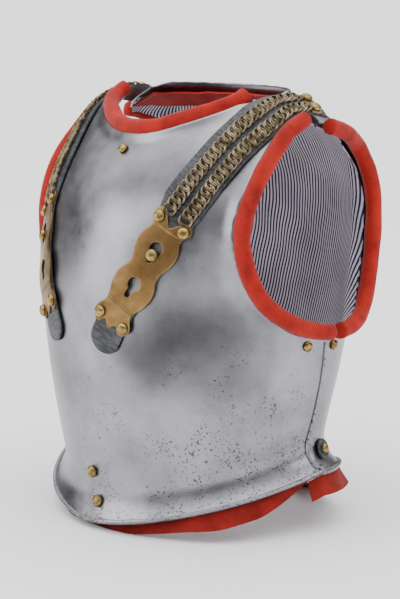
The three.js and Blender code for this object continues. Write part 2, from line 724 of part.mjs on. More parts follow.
// Outline of the leather: a rounded tip, the narrow part under the keyhole plate and the wide part under the
// chains, as [run, inner offset, outer offset], filled in with rows a set step apart.
const tipRow = (run, half) => [run, -half, half].map((share) => share * STRAP_HALF_WIDTH);
const LEATHER_OUTLINE = [
  tipRow(0, 0.24),
  tipRow(0.12, 0.59),
  tipRow(0.41, 0.85),
  tipRow(0.88, 1),
  [PLATE_UPPER_RIVETS - 6, -STRAP_HALF_WIDTH, STRAP_HALF_WIDTH],
  [PLATE_UPPER_RIVETS + 14, -STRAP_INNER_MARGIN + 3, STRAP_OUTER_MARGIN],
  [PLATE_UPPER_RIVETS + 34, -STRAP_INNER_MARGIN, STRAP_OUTER_MARGIN],
  [STRAP_LENGTH - 40, -STRAP_INNER_MARGIN + 2, STRAP_OUTER_MARGIN],
  [STRAP_LENGTH, -STRAP_OUTER_MARGIN, STRAP_OUTER_MARGIN],
];
function filledIn(outline, step) {
  return outline.flatMap((row, i) => {
    if (i === outline.length - 1) return [row];
    const next = outline[i + 1];
    const count = Math.max(1, Math.round((next[0] - row[0]) / step));
    return steps(count, 0, 1)
      .slice(0, -1)
      .map((t) => row.map((value, k) => lerp(value, next[k], t)));
  });
}
const leatherBand = strapBand(filledIn(LEATHER_OUTLINE, 21), 3, STRAP_SEAT, STRAP_SEAT + STRAP_WALL);
const leather = geometryOf(
  solidOf(leatherBand).subtract(joinedSolid([keyhole(UPPER_KEYHOLE, 1), keyhole(LOWER_KEYHOLE, 1)])),
);

// The keyhole plate has a lobe round each pair of rivets and a bulge round each keyhole.
// along: share of PLATE_LENGTH; half: share of PLATE_HALF_WIDTH.
const PLATE_OUTLINE = [
  { along: 0, half: 0.64 },
  { along: 0.023, half: 0.86 },
  { along: 0.062, half: 0.98 },
  { along: 0.109, half: 0.93 },
  { along: 0.172, half: 0.73 },
  { along: 0.234, half: 0.77 },
  { along: 0.305, half: 0.93 },
  { along: 0.383, half: 1 },
  { along: 0.453, half: 0.93 },
  { along: 0.516, half: 0.75 },
  { along: 0.578, half: 0.77 },
  { along: 0.648, half: 0.93 },
  { along: 0.719, half: 1 },
  { along: 0.789, half: 0.93 },
  { along: 0.844, half: 0.77 },
  { along: 0.891, half: 0.82 },
  { along: 0.938, half: 0.98 },
  { along: 0.977, half: 0.95 },
  { along: 1, half: 0.77 },
];
const PLATE_NOTCH_DEPTH = 13;
const PLATE_NOTCH_HALF = 11;
const PLATE_TOE_DEPTH = 4;
const PLATE_SEAT = STRAP_SEAT + STRAP_WALL + SEAT_GAP;
const plateEnd = PLATE_START + PLATE_LENGTH;
const notch = new THREE.Shape(
  [
    [plateEnd + 1, -PLATE_NOTCH_HALF],
    [plateEnd + 1, PLATE_NOTCH_HALF],
    [plateEnd - 5, PLATE_NOTCH_HALF * 0.55],
    [plateEnd - PLATE_NOTCH_DEPTH, 0],
    [plateEnd - 5, -PLATE_NOTCH_HALF * 0.55],
  ].map(([run, offset]) => new THREE.Vector2(run, offset)),
);
const toes = [-6.6, 6.6].map((offset) =>
  new THREE.Shape().absarc(PLATE_START - 0.5, offset, PLATE_TOE_DEPTH, 0, 2 * Math.PI, false),
);
const plateRows = PLATE_OUTLINE.map(({ along: share, half }) => [
  PLATE_START + share * PLATE_LENGTH,
  -half * PLATE_HALF_WIDTH,
  half * PLATE_HALF_WIDTH,
]);
const plateCuts = [...[notch, ...toes].map(strapCutter), keyhole(UPPER_KEYHOLE, 0), keyhole(LOWER_KEYHOLE, 0)];
const keyholePlate = geometryOf(
  solidOf(strapBand(plateRows, 2, PLATE_SEAT, PLATE_SEAT + PLATE_WALL)).subtract(joinedSolid(plateCuts)),
);

// One row of chain, as a flattened tube on the leather.
function chainRow(offset) {
  const from = PLATE_START + PLATE_LENGTH + 2;
  const to = STRAP_LENGTH - STRAP_TAIL - 7;
  const count = Math.round((to - from) / CHAIN_STEP);
  const oval = new THREE.Shape(ovalCorners(CHAIN_HEIGHT / 2, CHAIN_HALF_WIDTH, CHAIN_SIDES));
  return laidOnStrap(
    new THREE.ExtrudeGeometry(oval, { depth: to - from, steps: count, bevelEnabled: false })
      .rotateY(Math.PI / 2)
      .translate(from, offset, PLATE_SEAT + SEAT_GAP + CHAIN_HEIGHT / 2),
  );
}

// A small brass end plate on the back of the shoulder, over the last links.
const shoulderRun = STRAP_LENGTH - STRAP_TAIL;
const shoulderPlate = strapBand(
  [shoulderRun - 6, shoulderRun, shoulderRun + 6].map((run) => [run, -2 * CHAIN_OFFSET, 2 * CHAIN_OFFSET]),
  3,
  PLATE_SEAT,
  PLATE_SEAT + PLATE_WALL,
);

// A piece turned about +Z from its profile of [radius, height] points, which starts and ends on the axis.
function turned(profile, sides) {
  const points = profile.map(([radius, height]) => new THREE.Vector2(radius, height));
  return new THREE.LatheGeometry(points, sides).rotateX(Math.PI / 2);
}

// A dome head with a shank, with the underside of the head at 0.
function dome(headRadius, headHeight, shankRadius, shankLength) {
  const profile = [
    [0, -shankLength],
    [shankRadius, -shankLength],
    [shankRadius, 0],
    [headRadius, 0],
    [headRadius * 0.72, headHeight * 0.72],
    [0, headHeight],
  ];
  return turned(profile, HEAD_SIDES);
}

// A geometry set on the body: its own +Z along the body's outward normal.
function setAt(geometry, point, normal) {
  const turn = new THREE.Quaternion().setFromUnitVectors(new THREE.Vector3(0, 0, 1), normal);
  return geometry.clone().applyMatrix4(new THREE.Matrix4().compose(point, turn, new THREE.Vector3(1, 1, 1)));
}

function setOnStrap(geometry, run, offset, lift) {
  const low = strapPoint(run, offset, lift);
  const normal = strapPoint(run, offset, lift + 1).sub(low).normalize();
  return setAt(geometry, low, normal);
}

function setOnBody(geometry, angle, share, lift) {
  const section = sectionAt(share);
  const spot = lifted(degrees(angle), section, lift);
  return setAt(geometry, spot, torsoNormal(degrees(angle), section));
}

const cuirass = new THREE.Group();

const polishedSteel = new THREE.MeshStandardMaterial({ color: "#a9aaad", metalness: 1, roughness: 0.3 });
const stripedTicking = new THREE.MeshStandardMaterial({ color: "#8c8a99", metalness: 0, roughness: 0.9 });
const redCloth = new THREE.MeshStandardMaterial({ color: "#b8281c", metalness: 0, roughness: 0.95 });
const blackLeather = new THREE.MeshStandardMaterial({ color: "#2a2b2f", metalness: 0, roughness: 0.6 });
const brass = new THREE.MeshStandardMaterial({ color: "#a08050", metalness: 1, roughness: 0.4 });

function addMesh(name, geometry, material) {
  const mesh = new THREE.Mesh(joinedUp(geometry), material);
  mesh.name = name;
  cuirass.add(mesh);
}

// The same piece on the wearer's left and, mirrored, on the right.
function addPair(name, geometry, material) {
  addMesh(`${name}_left`, geometry, material);
  addMesh(`${name}_right`, mirrored(geometry), material);
}

// Studs in the middle of the steel: [name, angle in degrees, share of BODY_HEIGHT, share of STUD_HEAD_RADIUS].
const MIDDLE_STUD_LIFT = 1.2;
const MIDDLE_STUDS = [
  ["neck_stud", 0, 0.858, 1],
  ["waist_stud", 0, 0.126, 1.22],
  ["flare_stud", 3.5, 0.06, 1.22],
];
const stud = dome(STUD_HEAD_RADIUS, STUD_HEAD_HEIGHT, STUD_SHANK_RADIUS, BREAST_WALL);
const drilled = (radius) => {
  const drill = radius + HOLE_CLEARANCE;
  return new THREE.CylinderGeometry(drill, drill, HOLE_DEPTH, HEAD_SIDES).rotateX(Math.PI / 2);
};
const studHole = drilled(STUD_SHANK_RADIUS);
const SIDE_STUD = [82, 0.438];
const BACK_SIDE_STUD = [99, 0.428];
const BELT_STUD = [100, 0.186];
const KEYHOLE_STUD_RUN = UPPER_KEYHOLE - KEYHOLE_SLOT_REACH + KEYHOLE_STUD_SHIFT;

const leftHoles = [
  setOnBody(studHole, ...SIDE_STUD, 0),
  setOnStrap(drilled(KEYHOLE_STUD_NECK), KEYHOLE_STUD_RUN, 0, 0),
];
const breastHoles = [
  rollRoom(neck),
  ...bothSides(rollRoom(breastArm)),
  ...MIDDLE_STUDS.map(([, angle, share]) => setOnBody(studHole, angle, share, 0)),
  ...leftHoles.flatMap(bothSides),
];
const backLeftHoles = [setOnBody(studHole, ...BACK_SIDE_STUD, 0), setOnBody(studHole, ...BELT_STUD, 0)];
const backHoles = [rollRoom(backArm), ...backLeftHoles].flatMap(bothSides);

addMesh("breastplate", geometryOf(solidOf(breastSteel).subtract(joinedSolid(breastHoles))), polishedSteel);
addMesh("backplate", geometryOf(solidOf(backSteel).subtract(joinedSolid(backHoles))), polishedSteel);
addMesh("breast_lining", breastLining, stripedTicking);
addMesh("back_lining", backLining, stripedTicking);
addMesh("neck_roll", roll(...neck), redCloth);
addMesh("back_neck_band", neckBand(), redCloth);
addPair("breast_arm_roll", roll(...breastArm), redCloth);
addPair("back_arm_roll", roll(...backArm), redCloth);
addMesh("front_skirt", frontSkirt, redCloth);
addMesh("back_skirt", backSkirt, redCloth);
addPair("strap_leather", leather, blackLeather);
addPair("keyhole_plate", keyholePlate, brass);
addPair("shoulder_plate", shoulderPlate, brass);
addPair("inner_chain", chainRow(-CHAIN_OFFSET), brass);
addPair("outer_chain", chainRow(CHAIN_OFFSET), brass);
const rivet = turned(
  [
    [0, 0],
    [RIVET_HEAD_RADIUS, 0],
    [RIVET_HEAD_RADIUS * 0.72, RIVET_HEAD_HEIGHT * 0.72],
    [0, RIVET_HEAD_HEIGHT],
  ],
  HEAD_SIDES,
);
const OVER_PLATE = PLATE_SEAT + PLATE_WALL + SEAT_GAP;
plateRivets.forEach(([run, offset], i) =>
  addPair(`plate_rivet_${i + 1}`, setOnStrap(rivet, run, offset, OVER_PLATE), brass),
);
shoulderRivets.forEach(([run, offset], i) =>
  addPair(`shoulder_rivet_${i + 1}`, setOnStrap(rivet, run, offset, OVER_PLATE), brass),
);
MIDDLE_STUDS.forEach(([name, angle, share, size]) => {
  const head = dome(size * STUD_HEAD_RADIUS, size * STUD_HEAD_HEIGHT, STUD_SHANK_RADIUS, BREAST_WALL);
  addMesh(name, setOnBody(head, angle, share, MIDDLE_STUD_LIFT), brass);
});
addPair("side_stud", setOnBody(stud, ...SIDE_STUD, SEAT_GAP), brass);
addPair("back_side_stud", setOnBody(stud, ...BACK_SIDE_STUD, BACK_LIFT + SEAT_GAP), brass);
const washerDisc = new THREE.CylinderGeometry(WASHER_RADIUS - 0.5, WASHER_RADIUS, WASHER_WALL, WASHER_SIDES)
  .rotateX(Math.PI / 2)
  .translate(0, 0, WASHER_WALL / 2);
const washer = geometryOf(solidOf(washerDisc).subtract(solidOf(studHole)));
addPair("belt_washer", setOnBody(washer, ...BELT_STUD, BACK_LIFT + WASHER_LIFT), blackLeather);
const beltStud = dome(STUD_HEAD_RADIUS, STUD_HEAD_HEIGHT, STUD_SHANK_RADIUS, BACK_WALL + WASHER_WALL + SEAT_GAP);
addPair("belt_stud", setOnBody(beltStud, ...BELT_STUD, BACK_LIFT + WASHER_LIFT + WASHER_WALL + SEAT_GAP), brass);
const keyholeStudShank = OVER_PLATE + BREAST_WALL - 0.6;
const keyholeStud = dome(KEYHOLE_STUD_HEAD, KEYHOLE_STUD_HEIGHT, KEYHOLE_STUD_NECK, keyholeStudShank);
addPair("keyhole_stud", setOnStrap(keyholeStud, KEYHOLE_STUD_RUN, 0, OVER_PLATE), brass);

export default cuirass;
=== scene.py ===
"""Dresses a heavy cavalry cuirass in polished steel, striped ticking, red cloth, black leather and brass.

Lengths in this file are millimetres until a mesh or a material is made, which turns them to metres. The
breast faces -Y, the wearer's left is +X and +Z is up. Every piece is placed on one torso surface, by an
angle round the body and a section of the torso, as in the solids that it dresses.
"""

from __future__ import annotations

import logging
import math
from dataclasses import dataclass, field
from enum import Enum
from typing import Callable, Sequence

import bpy
import numpy as np
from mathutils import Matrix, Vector, geometry
from mathutils.kdtree import KDTree


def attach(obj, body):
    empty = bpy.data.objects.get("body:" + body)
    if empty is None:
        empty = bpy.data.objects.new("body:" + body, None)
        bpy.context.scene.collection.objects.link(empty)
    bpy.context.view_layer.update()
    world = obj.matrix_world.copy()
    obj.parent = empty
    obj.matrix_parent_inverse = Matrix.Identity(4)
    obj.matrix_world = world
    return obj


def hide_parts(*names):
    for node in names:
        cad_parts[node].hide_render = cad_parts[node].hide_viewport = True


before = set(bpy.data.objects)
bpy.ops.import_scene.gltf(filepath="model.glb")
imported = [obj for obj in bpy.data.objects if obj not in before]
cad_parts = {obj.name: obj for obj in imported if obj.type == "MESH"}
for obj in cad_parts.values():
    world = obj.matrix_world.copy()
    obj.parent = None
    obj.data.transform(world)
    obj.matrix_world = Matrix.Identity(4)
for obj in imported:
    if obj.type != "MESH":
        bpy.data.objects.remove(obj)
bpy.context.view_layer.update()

LOG = logging.getLogger("cuirass")
MILLIMETRE = 0.001
Points = np.ndarray
Faces = list[tuple[int, ...]]
Colour = tuple[float, float, float, float]
Tree = bpy.types.NodeTree
Socket = bpy.types.NodeSocket
SHARP_DEGREES = 50.0


class Slot(Enum):
    """The record's material slots."""

    STEEL = "polished_steel"
    TICKING = "striped_ticking"
    CLOTH = "red_cloth"
    LEATHER = "black_leather"
    BRASS = "brass"


class Side(Enum):
    """The wearer's side that a piece is on, as the sign of its X."""

    LEFT = 1
    RIGHT = -1


@dataclass(frozen=True)
class Section:
    """One section of the torso, as shares of the torso's own sizes."""

    height: float
    half_width: float
    front: float
    back: float
    breast_full: float
    back_full: float


SECTIONS = (
    Section(0.0, 0.85, 0.875, 0.545, 0.0, 0.0),
    Section(0.068, 0.84, 0.875, 0.53, 0.0, 0.0),
    Section(0.137, 0.85, 0.888, 0.525, 0.0, 0.0),
    Section(0.24, 0.908, 0.93, 0.565, 0.0, 0.01),
    Section(0.377, 0.96, 0.975, 0.72, 0.0, 0.015),
    Section(0.525, 0.988, 0.995, 0.86, 0.0, 0.02),
    Section(0.662, 0.994, 0.93, 0.955, 0.01, 0.02),
    Section(0.776, 0.985, 0.81, 0.94, 0.02, 0.025),
    Section(0.863, 0.955, 0.64, 0.815, 0.02, 0.03),
    Section(0.913, 0.908, 0.535, 0.69, 0.02, 0.03),
    Section(0.943, 0.836, 0.46, 0.585, 0.02, 0.02),
    Section(0.968, 0.705, 0.39, 0.485, 0.01, 0.01),
    Section(0.986, 0.585, 0.35, 0.415, 0.0, 0.0),
    Section(1.0, 0.505, 0.33, 0.375, 0.0, 0.0),
)


def between(padded: Points, at: Points) -> Points:
    """Reads rows of values at fractional places along a smooth curve through them.

    Args:
        padded: One value or row of values per whole place, and one more before the first and past the last.
        at: The fractional places, counted from the first row that isn't padding.

    Returns:
        The values there.
    """
    base = np.clip(np.floor(at).astype(int), 0, len(padded) - 4)
    t = at - base
    if padded.ndim > 1:
        t = t[:, None]
    a, b, c, d = (padded[base + i] for i in range(4))
    return b + 0.5 * t * (c - a + t * (2 * a - 5 * b + 4 * c - d + t * (3 * (b - c) + d - a)))


def catmull_rom(values: Points, at: Points) -> Points:
    """Reads a column of values at fractional rows along a smooth curve.

    Args:
        values: One value, or one row of values, per whole row.
        at: The fractional rows to read.

    Returns:
        The values at those rows, past the ends in a straight line.
    """
    rows = np.asarray(values, float)
    return between(np.concatenate([[2 * rows[0] - rows[1]], rows, [2 * rows[-1] - rows[-2]]]), at)


@dataclass
class Torso:
    """The surface that the steel is beaten to, and everything else is placed on."""

    body_height: float = 438.0
    chest_half_width: float = 177.0
    breast_depth: float = 176.0
    back_depth: float = 137.0
    side_line: float = 26.5
    rim_front: float = 6.0
    rim_side: float = 62.0
    rim_back: float = 16.0
    breast_flare: float = 13.0
    back_flare: float = 25.0
    flare_height: float = 36.0
    map_round: float = 150.0
    map_up: float = 38.0
    _rows: Points = field(init=False, repr=False)
    _table: dict[str, Points] = field(init=False, repr=False)

    def __post_init__(self) -> None:
        """Samples the sections closely and irons out the small kinks between them."""
        rows = np.arange(-4.0, len(SECTIONS) + 3.0, 0.05)
        kernel = np.exp(-0.5 * (np.arange(-20, 21) / 6.0) ** 2)
        kernel /= kernel.sum()
        inside = slice(20, -20)
        self._rows = rows[inside]
        self._table = {}
        for name in Section.__dataclass_fields__:
            column = np.array([getattr(section, name) for section in SECTIONS])
            last = len(column) - 1
            read = catmull_rom(column, np.clip(rows, 0, last))
            read += np.minimum(rows, 0) * (column[1] - column[0])
            read += np.maximum(rows - last, 0) * (column[-1] - column[-2])
            smooth = np.convolve(read, kernel, "same")
            self._table[name] = smooth[inside]

    def column(self, name: str, section: Points) -> Points:
        """Reads one column of the sections.

        Args:
            name: The column's name.
            section: Fractional rows.

        Returns:
            The column's values there.
        """
        return np.interp(section, self._rows, self._table[name])

    def section_at(self, share: Points) -> Points:
        """Finds the section at a share of the body's height.

        Args:
            share: Shares of the body's height.

        Returns:
            Fractional rows of the section table.
        """
        return np.interp(share, self._table["height"], self._rows)

    def rim(self, angle: Points) -> Points:
        """Gives the height of the lower edge.

        Args:
            angle: Angles round the body, in radians.

        Returns:
            The edge's height, low at the front and the spine and high at the hips.
        """
        turn = np.arccos(np.clip(np.cos(angle), -1, 1)) / (math.pi / 2)
        front = self.rim_front + (self.rim_side - self.rim_front) * np.power(np.minimum(turn, 1), 1.35)
        backwards = np.clip(turn - 1, 0, 1) ** 2
        ease = backwards * backwards * (3 - 2 * backwards)
        back = self.rim_side + (self.rim_back - self.rim_side) * ease
        return np.where(turn <= 1, front, back)

    def point(self, angle: Points, section: Points) -> Points:
        """Gives points of the surface.

        Args:
            angle: Angles round the body, in radians, from the middle of the breast.
            section: Fractional rows of the section table.

        Returns:
            An array of points, one row each.
        """
        angle, section = np.broadcast_arrays(np.asarray(angle, float), np.asarray(section, float))
        half_width = self.chest_half_width * self.column("half_width", section)
        front = np.cos(angle) >= 0
        depth = np.where(
            front,
            self.breast_depth * self.column("front", section),
            self.back_depth * self.column("back", section),
        )
        full = np.where(front, self.column("breast_full", section), self.column("back_full", section))
        swell = 1 + full * np.sin(2 * angle) ** 2
        height = self.body_height * self.column("height", section)
        above = (height - self.rim(angle)) / self.flare_height
        reach = self.back_flare + (self.breast_flare - self.back_flare) * (1 + np.cos(angle)) / 2
        flare = np.where(above > 0, np.clip(1 - above, 0, 1) ** 2, 1 - above) * reach
        out = np.stack([np.sin(angle) / half_width, -np.cos(angle) / depth], -1)
        out /= np.linalg.norm(out, axis=-1, keepdims=True)
        return np.stack(
            [
                half_width * swell * np.sin(angle) + flare * out[..., 0],
                self.side_line - depth * swell * np.cos(angle) + flare * out[..., 1],
                height,
            ],
            -1,
        )

    def normal(self, angle: Points, section: Points) -> Points:
        """Gives outward normals of the surface.

        Args:
            angle: Angles round the body, in radians.
            section: Fractional rows of the section table.

        Returns:
            An array of unit vectors, one row each.
        """
        step = 0.01
        round_body = self.point(angle + step, section) - self.point(angle - step, section)
        up = self.point(angle, section + step) - self.point(angle, section - step)
        normal = np.cross(round_body, up)
        return normal / np.linalg.norm(normal, axis=-1, keepdims=True)

    def lifted(self, angle: Points, section: Points, lift: Points | float) -> Points:
        """Gives points at a distance off the surface.

        Args:
            angle: Angles round the body, in radians.
            section: Fractional rows of the section table.
            lift: Distances outwards, in millimetres.

        Returns:
            An array of points, one row each.
        """
        lift = np.asarray(lift, float)
        return self.point(angle, section) + self.normal(angle, section) * lift[..., None]


TORSO = Torso()
SAMPLES_PER_SPAN = 40


def measured(points: Points) -> Points:
    """Gives each point's distance along the line of points."""
    return np.concatenate([[0], np.cumsum(np.linalg.norm(np.diff(points, axis=0), axis=1))])


class Line:
    """A smooth line on the torso through points, walked at an even pace on the torso's flat map."""

    def __init__(self, points: Sequence[tuple[float, float]]) -> None:
        """Lays the line.

        Args:
            points: Each an angle in degrees and a share of the body's height.
        """
        spots = np.array(points, float)
        nodes = np.stack(
            [np.radians(spots[:, 0]) * TORSO.map_round, TORSO.section_at(spots[:, 1]) * TORSO.map_up], -1
        )
        spans = len(nodes) - 1
        places = np.linspace(0, spans, SAMPLES_PER_SPAN * spans + 1)
        self.samples = between(np.concatenate([nodes[:1], nodes, nodes[-1:]]), places)
        self.lengths = measured(self.samples)

    def at(self, share: Points) -> tuple[Points, Points]:
        """Walks the line.

        Args:
            share: Shares of the line's length.

        Returns:
            The angles in radians and the sections there.
        """
        run = np.asarray(share) * self.lengths[-1]
        x = np.interp(run, self.lengths, self.samples[:, 0])
        y = np.interp(run, self.lengths, self.samples[:, 1])
        return x / TORSO.map_round, y / TORSO.map_up


ARMPIT_HEIGHT = 0.45
BREAST_NECK_HEIGHT = 0.887
BACK_NECK_HEIGHT = 0.99
LAP_DEGREES = 83.0
NECK_LINE = Line(
    [(0, BREAST_NECK_HEIGHT), (6, 0.888), (14, 0.897), (25, 0.918), (37, 0.94), (50, 0.961), (60, 0.975)]
)
SHOULDER_LINE = Line([(60, 0.975), (69, 0.961), (80, 0.943)])
ARM_POINTS = [
    (90, ARMPIT_HEIGHT), (82, 0.459), (73, 0.482), (64, 0.527), (58, 0.587), (54.5, 0.65),
    (53, 0.71), (54.5, 0.79), (58.5, 0.865), (66, 0.918), (80, 0.943),
]
ARM_LINE = Line(ARM_POINTS)
SIDE_LINE = Line(
    [
        (90, TORSO.rim_side / TORSO.body_height), (87.6, 0.165), (86.4, 0.2), (87.6, 0.255), (89.4, 0.35),
        (90, ARMPIT_HEIGHT),
    ]
)
BACK_NECK_LINE = Line(
    [(180, BACK_NECK_HEIGHT), (150, BACK_NECK_HEIGHT), (120, BACK_NECK_HEIGHT), (86, BACK_NECK_HEIGHT)]
)
BACK_SHOULDER_LINE = Line([(86, BACK_NECK_HEIGHT), (91, 0.97), (97, 0.932)])
BACK_ARM_LINE = Line(
    [
        (LAP_DEGREES, ARMPIT_HEIGHT), (98, 0.45), (109, 0.461), (117, 0.482), (122, 0.514), (126, 0.555),
        (129, 0.61), (131, 0.665), (132, 0.724), (133, 0.79), (132.5, 0.845), (128, 0.887), (113, 0.917),
        (97, 0.932),
    ]
)


@dataclass(frozen=True)
class Walls:
    """Thicknesses and clearances that several pieces share."""

    breast: float = 3.0
    back: float = 2.0
    cloth: float = 2.2
    lap_gap: float = 1.7
    cloth_gap: float = 1.1
    seat_gap: float = 0.4

    @property
    def back_lift(self) -> float:
        """How far the backplate's outer face lies inside the torso surface."""
        return -(self.breast + self.lap_gap)


WALLS = Walls()


def linear(code: str) -> Colour:
    """Turns an sRGB hex colour to a linear one.

    Args:
        code: A colour such as "#a9aaad".

    Returns:
        Its linear red, green and blue, and an alpha of 1.
    """
    shares = [int(code[i : i + 2], 16) / 255 for i in (1, 3, 5)]
    red, green, blue = (s / 12.92 if s <= 0.04045 else ((s + 0.055) / 1.055) ** 2.4 for s in shares)
    return red, green, blue, 1.0


def add_node(
    tree: Tree,
    kind: str,
    settings: dict[str | int, object] | None = None,
    links: dict[str | int, Socket] | None = None,
) -> bpy.types.Node:
    """Adds a node with its settings and links.

    Args:
        tree: The node tree to add to.
        kind: The node's type.
        settings: Values for sockets, by name or number, and for properties. "stops" fills a colour ramp.
        links: Sockets to link from, by the name or number of the socket that they reach.

    Returns:
        The new node.
    """
    node = tree.nodes.new(kind)
    for name, value in (settings or {}).items():
        if name == "stops":
            ramp = node.color_ramp
            while len(ramp.elements) < len(value):
                ramp.elements.new(0.5)
            for element, (place, _) in zip(ramp.elements, value):
                element.position = place
            for element, (_, colour) in zip(ramp.elements, value):
                element.color = colour
        elif isinstance(name, int) or name in node.inputs:
            node.inputs[name].default_value = value
        else:
            setattr(node, name, value)
    for name, source in (links or {}).items():
        tree.links.new(source, node.inputs[name])
    return node


def grey(share: float) -> Colour:
    """Gives a linear grey."""
    return share, share, share, 1.0


def per_metre(size: float) -> float:
    """Gives the texture scale at which a pattern repeats about every `size` millimetres."""
    return 1000.0 / size


class Finish:
    """A material made of nodes. Each kind says what the surface is and how it was made."""

    name: str

    def surface(self, tree: Tree) -> bpy.types.Node:
        """Builds the shader. Each finish has its own.

        Args:
            tree: The material's node tree.

        Returns:
            The shader node.
        """
        raise NotImplementedError

    def relief(self, tree: Tree, layers: Sequence[tuple[Socket, float, float]]) -> Socket:
        """Lays layers of relief over each other, the broadest first.

        Args:
            tree: The material's node tree.
            layers: Each layer's pattern, strength and depth in millimetres, below 0 where the pattern sinks.

        Returns:
            The normal of the whole.
        """
        normal: dict[str, Socket] = {}
        for pattern, strength, depth in layers:
            layer = add_node(
                tree,
                "ShaderNodeBump",
                {"Strength": strength, "Distance": abs(depth) * MILLIMETRE, "invert": depth < 0},
                {"Height": pattern, **normal},
            )
            normal = {"Normal": layer.outputs[0]}
        return normal["Normal"]

    def material(self) -> bpy.types.Material:
        """Makes the material, once.

        Returns:
            The material of this finish.
        """
        found = bpy.data.materials.get(self.name)
        if found is not None:
            return found
        made = bpy.data.materials.new(self.name)
        made.use_nodes = True
        tree = made.node_tree
        tree.nodes.clear()
        shader = self.surface(tree)
        add_node(tree, "ShaderNodeOutputMaterial", links={"Surface": shader.outputs[0]})
        return made


@dataclass(frozen=True)
class Mark:
    """A soft-edged dark mark on the steel: its middle and reach in millimetres, and its darkest shade."""

    spot: tuple[float, float, float]
    reach: float
    shade: float

    def shading(self, tree: Tree, place: Socket) -> Socket:
        """Darkens the surface at the mark.

        Args:
            tree: The material's node tree.
            place: The surface's own place, in metres.

        Returns:
            The mark's shade at its middle, rising smoothly to 1 at its reach.
        """
        middle = tuple(value * MILLIMETRE for value in self.spot)
        away = add_node(tree, "ShaderNodeVectorMath", {"operation": "DISTANCE", 1: middle}, {0: place})
        return add_node(
            tree,
            "ShaderNodeMapRange",
            {"interpolation_type": "SMOOTHSTEP", "From Max": self.reach * MILLIMETRE, "To Min": self.shade},
            {"Value": away.outputs["Value"]},
        ).outputs[0]


